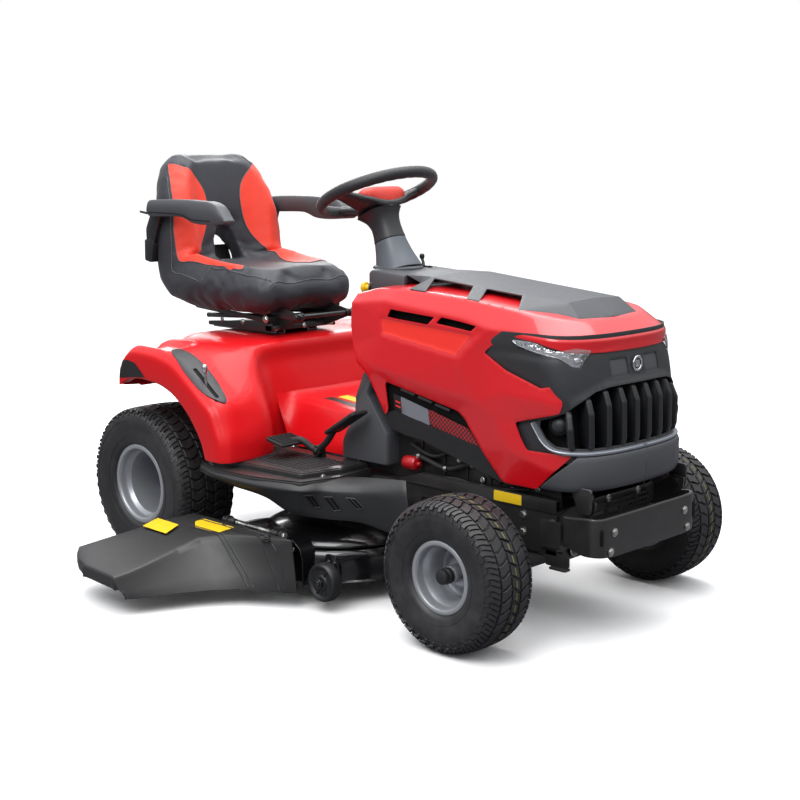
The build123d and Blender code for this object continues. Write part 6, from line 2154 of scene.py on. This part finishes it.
def frame_rails():
    web = [(-190, 250), (980, 250), (1060, 212), (1335, 212), (1335, 322), (-190, 322)]
    rail = channel(web, -198, 30, 3, [(-190, 1335, 319), (-190, 980, 250)])
    low = loft([[(x, -198, z), (x, -198, z + 3), (x, -168, z + 3), (x, -168, z)]
                for x, z in ((980, 250), (1060, 212), (1335, 212))])
    extras = []
    for x, z in ((1230, 300), (1230, 257), (1140, 257), (1000, 290), (120, 290), (-60, 290), (560, 290),
                 (1320, 292)):
        extras.append(bolt((x, -198, z), (0, -1, 0), 8, 6))
        extras.append(revolve([(0, 0), (11.5, 0), (11.5, -1.8), (0, -1.8)], (x, -198, z), "y", 24))
    tab = slab(rounded([(1300, 186), (1362, 182), (1372, 190), (1372, 214), (1330, 224), (1300, 224)], 5),
               -198, -192, "y")
    foot = slab(rounded([(1322, -214), (1374, -214), (1374, -190), (1322, -190)], 6), 182, 187)
    # Near-black slabs on the rail's web: painted shade in its slots.
    slots = [slab(rounded([(x, 274), (x + 46, 274), (x + 46, 288), (x, 288)], 7), -198.8, -197, "y")
             for x in (880, 1010)]
    upper = slab(rounded([(800, 318), (800, 324), (880, 351), (1334, 351), (1334, 318)], 4), -201.5, -198.4,
                 "y")
    top_lip = slab([(880, -201.5), (1334, -201.5), (1334, -184), (880, -184)], 348.5, 351.5)
    sticker = slab(rounded([(1136, 322), (1226, 322), (1226, 348), (1136, 348)], 3), -202.4, -201.5, "y")
    for side, end in (("right", lambda m: m), ("left", mirrored)):
        piece(f"rail_channel_{side}", end(joined(rail, low, tab, foot, upper, top_lip)), "black_steel",
              "chassis", f"frame_rail_{side}", bevel=1.0)
        piece(f"rail_bolts_{side}", end(joined(*extras)), "zinc", "chassis")
        piece(f"rail_slot_shade_{side}", end(joined(*slots)), "void", "chassis", bevel=0.3)
    piece("rail_sticker", sticker, "label_yellow", "chassis", bevel=0.3)
    cross = []
    for x0, z0, z1 in ((1310, 214, 318), (560, 254, 318), (-60, 254, 318)):
        cross.append(slab(rounded([(-194.8, z0), (194.8, z0), (194.8, z1), (-194.8, z1)], 4), x0, x0 + 6,
                          "x"))
        cross.append(slab([(x0 - 18, -194), (x0, -194), (x0, 194), (x0 - 18, 194)], z1 - 4, z1))
    for x0 in (1166, 1228):
        ear = rounded([(-194.8, 318), (-194.8, 216), (-44, 146), (44, 146), (194.8, 216), (194.8, 318)], 12)
        hole = [(a, b) for a, b in circle(0, 172, 10.2, 24)]
        flat = sheet(ear, lambda u, v, x0=x0: (x0, u, v), [hole], spacing=40)
        cross.append(thick(flat, (6, 0, 0)))
    post = slab(rounded([(1320, 240), (1334, 240), (1440, 335), (1444, 362), (1408, 366), (1320, 300)], 5),
                -190, -184, "y")
    pivot = revolve([(0, -196), (9, -196), (9, -176), (0, -176)], (1420, 0, 350), "y", 24)
    piece("cross_channels", joined(*cross, both(joined(post, pivot))), "black_steel", "chassis",
          "cross_members", bevel=0.8)
    back = slab(rounded([(-200, 236), (200, 236), (200, 322), (-200, 322)], 8), -196, -190.2, "x")
    tongue_line = rounded([(-196, -70), (-232, -45), (-251, -20), (-251, 20), (-232, 45), (-196, 70)], 8)
    flat = sheet(tongue_line, lambda u, v: (u, v, 252), [circle(-222, 0, 8.2, 24)], spacing=30)
    gusset = slab(rounded([(-196, 260), (-240, 260), (-196, 300)], 3), -62, -57, "y")
    piece("hitch", joined(back, thick(flat, (0, 0, 8)), both(gusset)), "black_steel", "chassis",
          "hitch_plate", bevel=1.2)
    nuts = [bolt((-196, y, z), (-1, 0, 0), 7, 5) for y in (-150, 150) for z in (262, 300)]
    piece("hitch_bolts", joined(*nuts), "zinc", "chassis")


def thick(mesh, shift):
    """Closed solid between a flat sheet and the same sheet moved by a vector."""
    points, faces = mesh
    count = len(points)
    edges = {}
    for face in faces:
        for a, b in zip(face, face[1:] + face[:1]):
            edges[(a, b)] = True
    rim_edges = [(a, b) for a, b in edges if (b, a) not in edges]
    out = list(points) + [tuple(p[k] + shift[k] for k in range(3)) for p in points]
    all_faces = [tuple(reversed(f)) for f in faces] + [tuple(i + count for i in f) for f in faces]
    all_faces += [(a, b, b + count, a + count) for a, b in rim_edges]
    return out, all_faces


def bumper():
    """Folded bumper plate with swept wings, a rolled top lip and slots at its ends, the slots drawn as
    near-black patches of painted shade.
    """
    plan = [(1352, -197), (1380, -201), (1412, -207), (1440, -211), (1456, -206), (1466, -194), (1470, -180),
            (1471, -150), (1471.5, -75), (1472, 0)]
    line = curve([(x, y, 0) for x, y in plan], 4)
    rings = []
    for x, y, _ in line:
        t = clamp((x - 1352) / 100)
        top = mix(316, 326, smooth(t * 1.1))
        low = mix(240, 227, smooth(t * 1.3)) + 6 * clamp((abs(y) - 150) / 60) * t
        nx = clamp((x - 1430) / 40)
        ring = []
        for inward, z in ((11, top - 1.0), (9, top + 0.5), (3, top + 1), (0.6, top - 1.5), (0, top - 6),
                          (0, 290), (0, 260), (0, low + 5), (1.2, low + 1), (5, low)):
            ring.append((x - inward * nx, y + inward * (1 - nx), z))
        rings.append(ring)
    piece("bumper_plate", both(loft(rings, caps=False, closed=False)), "black_steel", "chassis",
          "front_bumper", skin=4, bevel=1.2, weld=0.4, outward=(1, 0, 0), sharp=45)
    # Near-black slab on each end of the bumper: painted shade in its slot.
    slot = slab(rounded([(-199, 262), (-190, 262), (-190, 302), (-199, 302)], 4.4), 1466.5, 1469.5, "x")
    bracket = slab(rounded([(1290, 232), (1352, 232), (1352, 300), (1290, 300)], 6), -207, -198.4, "y")
    piece("bumper_slot_shade", both(slot), "void", "chassis", bevel=0.3)
    piece("bumper_brackets", both(bracket), "black_steel", "chassis", bevel=1)
    heads = []
    for y, z in ((-149, 289), (-163, 243)):
        heads.append(revolve([(0, 0), (11, 0), (11, 1.5), (0, 1.5)], (1471.5, y, z), "x", 28))
        heads.append(revolve([(0, 0), (8.4, 0), (8, 2.8), (5, 4.8), (0, 5.4)], (1472.5, y, z), "x", 28))
    piece("bumper_bolt_heads", both(joined(*heads)), "zinc", "chassis", "bumper_bolts")
    guard = rounded([(-135, 296), (118, 296), (135, 310), (135, 352), (-118, 352), (-135, 338)], 12)
    holes = []
    for row, z in enumerate((308, 321, 334)):
        for k in range(4):
            y = -116 + 58 * k + (8 if row % 2 else 0)
            holes.append(rounded([(y, z), (y + 42, z), (y + 42, z + 5.5), (y, z + 5.5)], 2.6, 3))
    flat = sheet(guard, lambda u, v: (1384, u, v), holes, spacing=14)
    skirt = slab(rounded([(1384, -135), (1392, -135), (1392, 135), (1384, 135)], 2), 290, 296)
    piece("guard_plate", joined(thick(flat, (3, 0, 0)), skirt), "black_steel", "chassis",
          "muffler_guard", bevel=0.6)
    piece("guard_bolts", joined(*[bolt((1388, y, 344), (1, 0, 0), 7, 5) for y in (-62, 62)]), "zinc",
          "chassis")
    hang = slab(rounded([(1330, -120), (1384, -120), (1384, -96), (1330, -96)], 4), 292, 296)
    piece("guard_stays", both(hang), "black_steel", "chassis", bevel=0.6)


def front_axle():
    beam = rounded([(-205, 148), (205, 148), (258, 216), (318, 216), (318, 282), (270, 282), (205, 196),
                    (-205, 196), (-270, 282), (-318, 282), (-318, 216), (-258, 216)], 8)
    flat = sheet(beam, lambda u, v: (1186, u, v), [circle(0, 172, 10.3, 24)], spacing=40)
    bosses = []
    for sign in (-1, 1):
        bosses.append(revolve([(11.2, 216), (20, 216), (20, 282), (11.2, 282)], (1200, sign * 300, 0), "z",
                              32))
        bosses.append(tube([(1200, sign * 300, 284), (1200, sign * 300, 290)], 15, 6))
    piece("axle_beam", joined(thick(flat, (28, 0, 0)), *bosses), "black_steel", "axle",
          "front_axle", bevel=2.0)
    pin = joined(tube([(1158, 0, 172), (1246, 0, 172)], 9.7, 28), bolt((1240, 0, 172), (1, 0, 0), 15, 9),
                 bolt((1160, 0, 172), (-1, 0, 0), 15, 9))
    piece("axle_pivot_bolt", pin, "zinc", "chassis", "axle_pin", bevel=0.4)


def drivetrain():
    """Engine, silencer, tank and transaxle as they show with the hood tipped."""
    sump = [[(1000 + r * math.cos(a), r * math.sin(a), z) for a in (math.tau * k / 48 for k in range(48))]
            for r, z in ((118, 325.5), (128, 332), (130, 342), (130, 430), (126, 440), (112, 446),
                         (111, 512))]
    fins = []
    for k in range(7):
        x = 1096 + 15 * k
        fins.append(slab(rounded([(-95, 378), (95, 378), (95, 500), (-95, 500)], 14), x, x + 5, "x"))
    head = slab(rounded([(-78, 384), (78, 384), (78, 494), (-78, 494)], 12), 1060, 1204, "x")
    cover = slab(rounded([(-60, 398), (60, 398), (60, 480), (-60, 480)], 16), 1204, 1216, "x")
    bolts = [bolt((1216, y, z), (1, 0, 0), 6, 5) for y in (-46, 46) for z in (412, 466)]
    piece("engine_block", joined(loft(sump), *fins, head, cover, *bolts), "aluminium", "chassis",
          "engine", bevel=1.2)
    shroud = [[(1000 + (r + bump * max(0.0, math.cos(a)) ** 3) * math.cos(a), r * math.sin(a), z)
               for a in (math.tau * k / 56 for k in range(56))]
              for r, bump, z in ((150, 0, 508), (163, 0, 516), (165, 0, 590), (158, 0, 606), (140, 0, 614),
                                 (96, 0, 616))]
    piece("engine_shroud", loft(shroud), "dark_plastic", "chassis", bevel=1.5, sharp=40)
    screen = revolve([(0, 643), (60, 643), (84, 638), (89, 628), (90, 614), (0, 614)], (1000, 0, 0), "z", 56)
    spokes = [slab([(1000 + 20 * math.cos(a) - 1.5 * math.sin(a), 20 * math.sin(a) + 1.5 * math.cos(a)),
                    (1000 + 80 * math.cos(a) - 1.5 * math.sin(a), 80 * math.sin(a) + 1.5 * math.cos(a)),
                    (1000 + 80 * math.cos(a) + 1.5 * math.sin(a), 80 * math.sin(a) - 1.5 * math.cos(a)),
                    (1000 + 20 * math.cos(a) + 1.5 * math.sin(a), 20 * math.sin(a) - 1.5 * math.cos(a))], 638,
                   644)
              for a in (math.tau * k / 20 for k in range(20))]
    piece("engine_screen", joined(screen, *spokes), "black_plastic", "chassis", bevel=0.5)
    body = revolve([(0, -112), (40, -112), (50, -106), (52, -98), (52, -4), (53.5, 0), (52, 4), (52, 98),
                    (50, 106), (40, 112), (0, 112)], (1265, 0, 400), "y", 48)
    pipe = tube(curve([(1262, -60, 352), (1276, -60, 340), (1304, -60, 336), (1332, -60, 330)], 8), 14, 20)
    piece("silencer", joined(body, pipe), "steel", "chassis", "muffler", bevel=0.8)
    tank = []
    for x, s in ((700, 0.86), (706, 0.95), (716, 1.0), (814, 1.0), (824, 0.95), (830, 0.86)):
        tank.append([(x, y * s, 600 + (z - 600) * s) for y, z in
                     rounded([(-150, 541), (150, 541), (150, 659), (-150, 659)], 26, 6)])
    cap = revolve([(0, 694), (24, 694), (30, 690), (31, 672), (27, 656), (0, 656)], (765, 60, 0), "z", 40)
    piece("tank_body", loft(tank), "tank", "chassis", "fuel_tank", bevel=0.8)
    piece("tank_cap", cap, "black_plastic", "chassis", bevel=0.8)
    case = []
    for y, s in ((-105, 0.9), (-100, 0.97), (-92, 1.0), (-6, 1.0), (-5, 1.04), (5, 1.04), (6, 1.0), (92, 1.0),
                 (100, 0.97), (105, 0.9)):
        case.append([(17 + (x - 17) * s, y, 198 + (z - 198) * s) for x, z in
                     rounded([(-95, 150), (130, 150), (130, 240), (70, 246), (-60, 246), (-95, 220)], 26, 6)])
    tubes = [revolve([(12.8, 104), (24, 104), (24, 112), (20, 116), (20, 262), (12.8, 262)], (0, 0, 228), "y",
                     32)]
    tubes.append(revolve([(12.8, -262), (20, -262), (20, -116), (24, -112), (24, -104), (12.8, -104)],
                         (0, 0, 228), "y", 32))
    hub = revolve([(0, 240), (20, 240), (20, 262), (34, 264), (34, 268), (26, 271), (34, 274), (34, 278),
                   (0, 278)],
                  (80, 0, 0), "z", 40)
    piece("transaxle_case", joined(loft(case), *tubes, hub), "aluminium", "chassis", "transaxle",
          bevel=0.8)


def steering_links():
    """Knuckles with their kingpins and arms, and the tie rod between them."""
    for side, sign in (("right", -1), ("left", 1)):
        pin = tube([(1200, sign * 300, 180), (1200, sign * 300, 291)], 10, 24)
        block_low = revolve([(0, 170), (20, 170), (23, 174), (23, 208), (19, 212), (0, 212)],
                            (1200, sign * 300, 0), "z", 32)
        stub = tube([(1200, sign * 300, 190), (1200, sign * 466, 190)], 9.5, 24)
        collar = tube([(1200, sign * 318, 190), (1200, sign * 362, 190)], 15, 24)
        arm = slab(rounded([(1088, sign * 300 - 12), (1188, sign * 300 - 14), (1188, sign * 300 + 14),
                            (1088, sign * 300 + 12)], 9), 198, 206)
        eye = joined(revolve([(0, 196.5), (13, 196.5), (13, 208), (0, 208)], (1100, sign * 300, 0), "z", 28),
                     bolt((1100, sign * 300, 208), (0, 0, 1), 9, 6))
        cap = bolt((1200, sign * 300, 290), (0, 0, 1), 13, 6)
        piece(f"knuckle_forging_{side}", joined(pin, block_low, stub, collar, arm, eye, cap), "black_steel",
              f"steer_{side}", f"knuckle_{side}", bevel=0.8)
    rod_line = tube([(1100, -292, 188), (1100, 292, 188)], 6, 20)
    ends = [revolve([(0, 182), (11, 182), (13, 186), (13, 192), (11, 195.5), (0, 195.5)], (1100, s * 300, 0),
                    "z", 28)
            for s in (-1, 1)]
    sleeves = [tube([(1100, s * 236, 188), (1100, s * 286, 188)], 8.5, 6) for s in (-1, 1)]
    piece("tie_rod_bar", joined(rod_line, *ends, *sleeves), "zinc", "track_rod", "tie_rod", bevel=0.4)


def engine_bay():
    """What shows between the hood's lower edge and the rails: shields, hoses, a harness and a filter."""
    shield = slab(rounded([(770, 322), (770, 470), (900, 520), (1180, 520), (1330, 430), (1330, 322)], 12),
                  -176, -173, "y")
    ribs = [slab(rounded([(x, 340), (x + 8, 340), (x + 8, 470), (x, 470)], 3), -180, -175, "y")
            for x in (860, 940, 1020, 1100)]
    piece("engine_bay_shields", both(joined(shield, *ribs)), "black_steel", "chassis", bevel=0.8)
    hoses = [
        tube(curve([(800, -182, 360), (860, -190, 392), (960, -188, 372), (1060, -192, 398),
                    (1150, -186, 366)], 8), 7, 12),
        tube(curve([(830, -186, 420), (920, -192, 400), (1010, -190, 428), (1120, -190, 392),
                    (1210, -184, 400)], 8), 5, 12),
        tube(curve([(900, -188, 340), (1000, -192, 352), (1100, -192, 344), (1240, -186, 362)], 8), 4, 10),
    ]
    piece("engine_hoses", both(joined(*hoses)), "rubber", "chassis")
    clamps = [revolve([(7.2, -5), (9, -5), (9, 5), (7.2, 5)], (x, -190, z), "x", 20)
              for x, z in ((866, 392), (962, 373), (1058, 397))]
    nuts = [bolt((x, -181, z), (0, -1, 0), 6, 5)
            for x, z in ((1180, 350), (1260, 366), (1000, 400), (1080, 360))]
    piece("engine_bay_fittings", both(joined(*clamps, *nuts)), "zinc", "chassis")
    filter_body = revolve([(0, -22), (17, -22), (19, -18), (19, 18), (17, 22), (6, 24), (6, 32), (0, 32)],
                          (842, -196, 372), "x", 28)
    piece("fuel_filter", filter_body, "red_dark", "chassis", bevel=0.6)


MAKERS += [frame_rails, engine_bay, bumper, front_axle, drivetrain, steering_links]


repaint_cad()
stage()
lights()
camera()
for make in MAKERS:
    make()
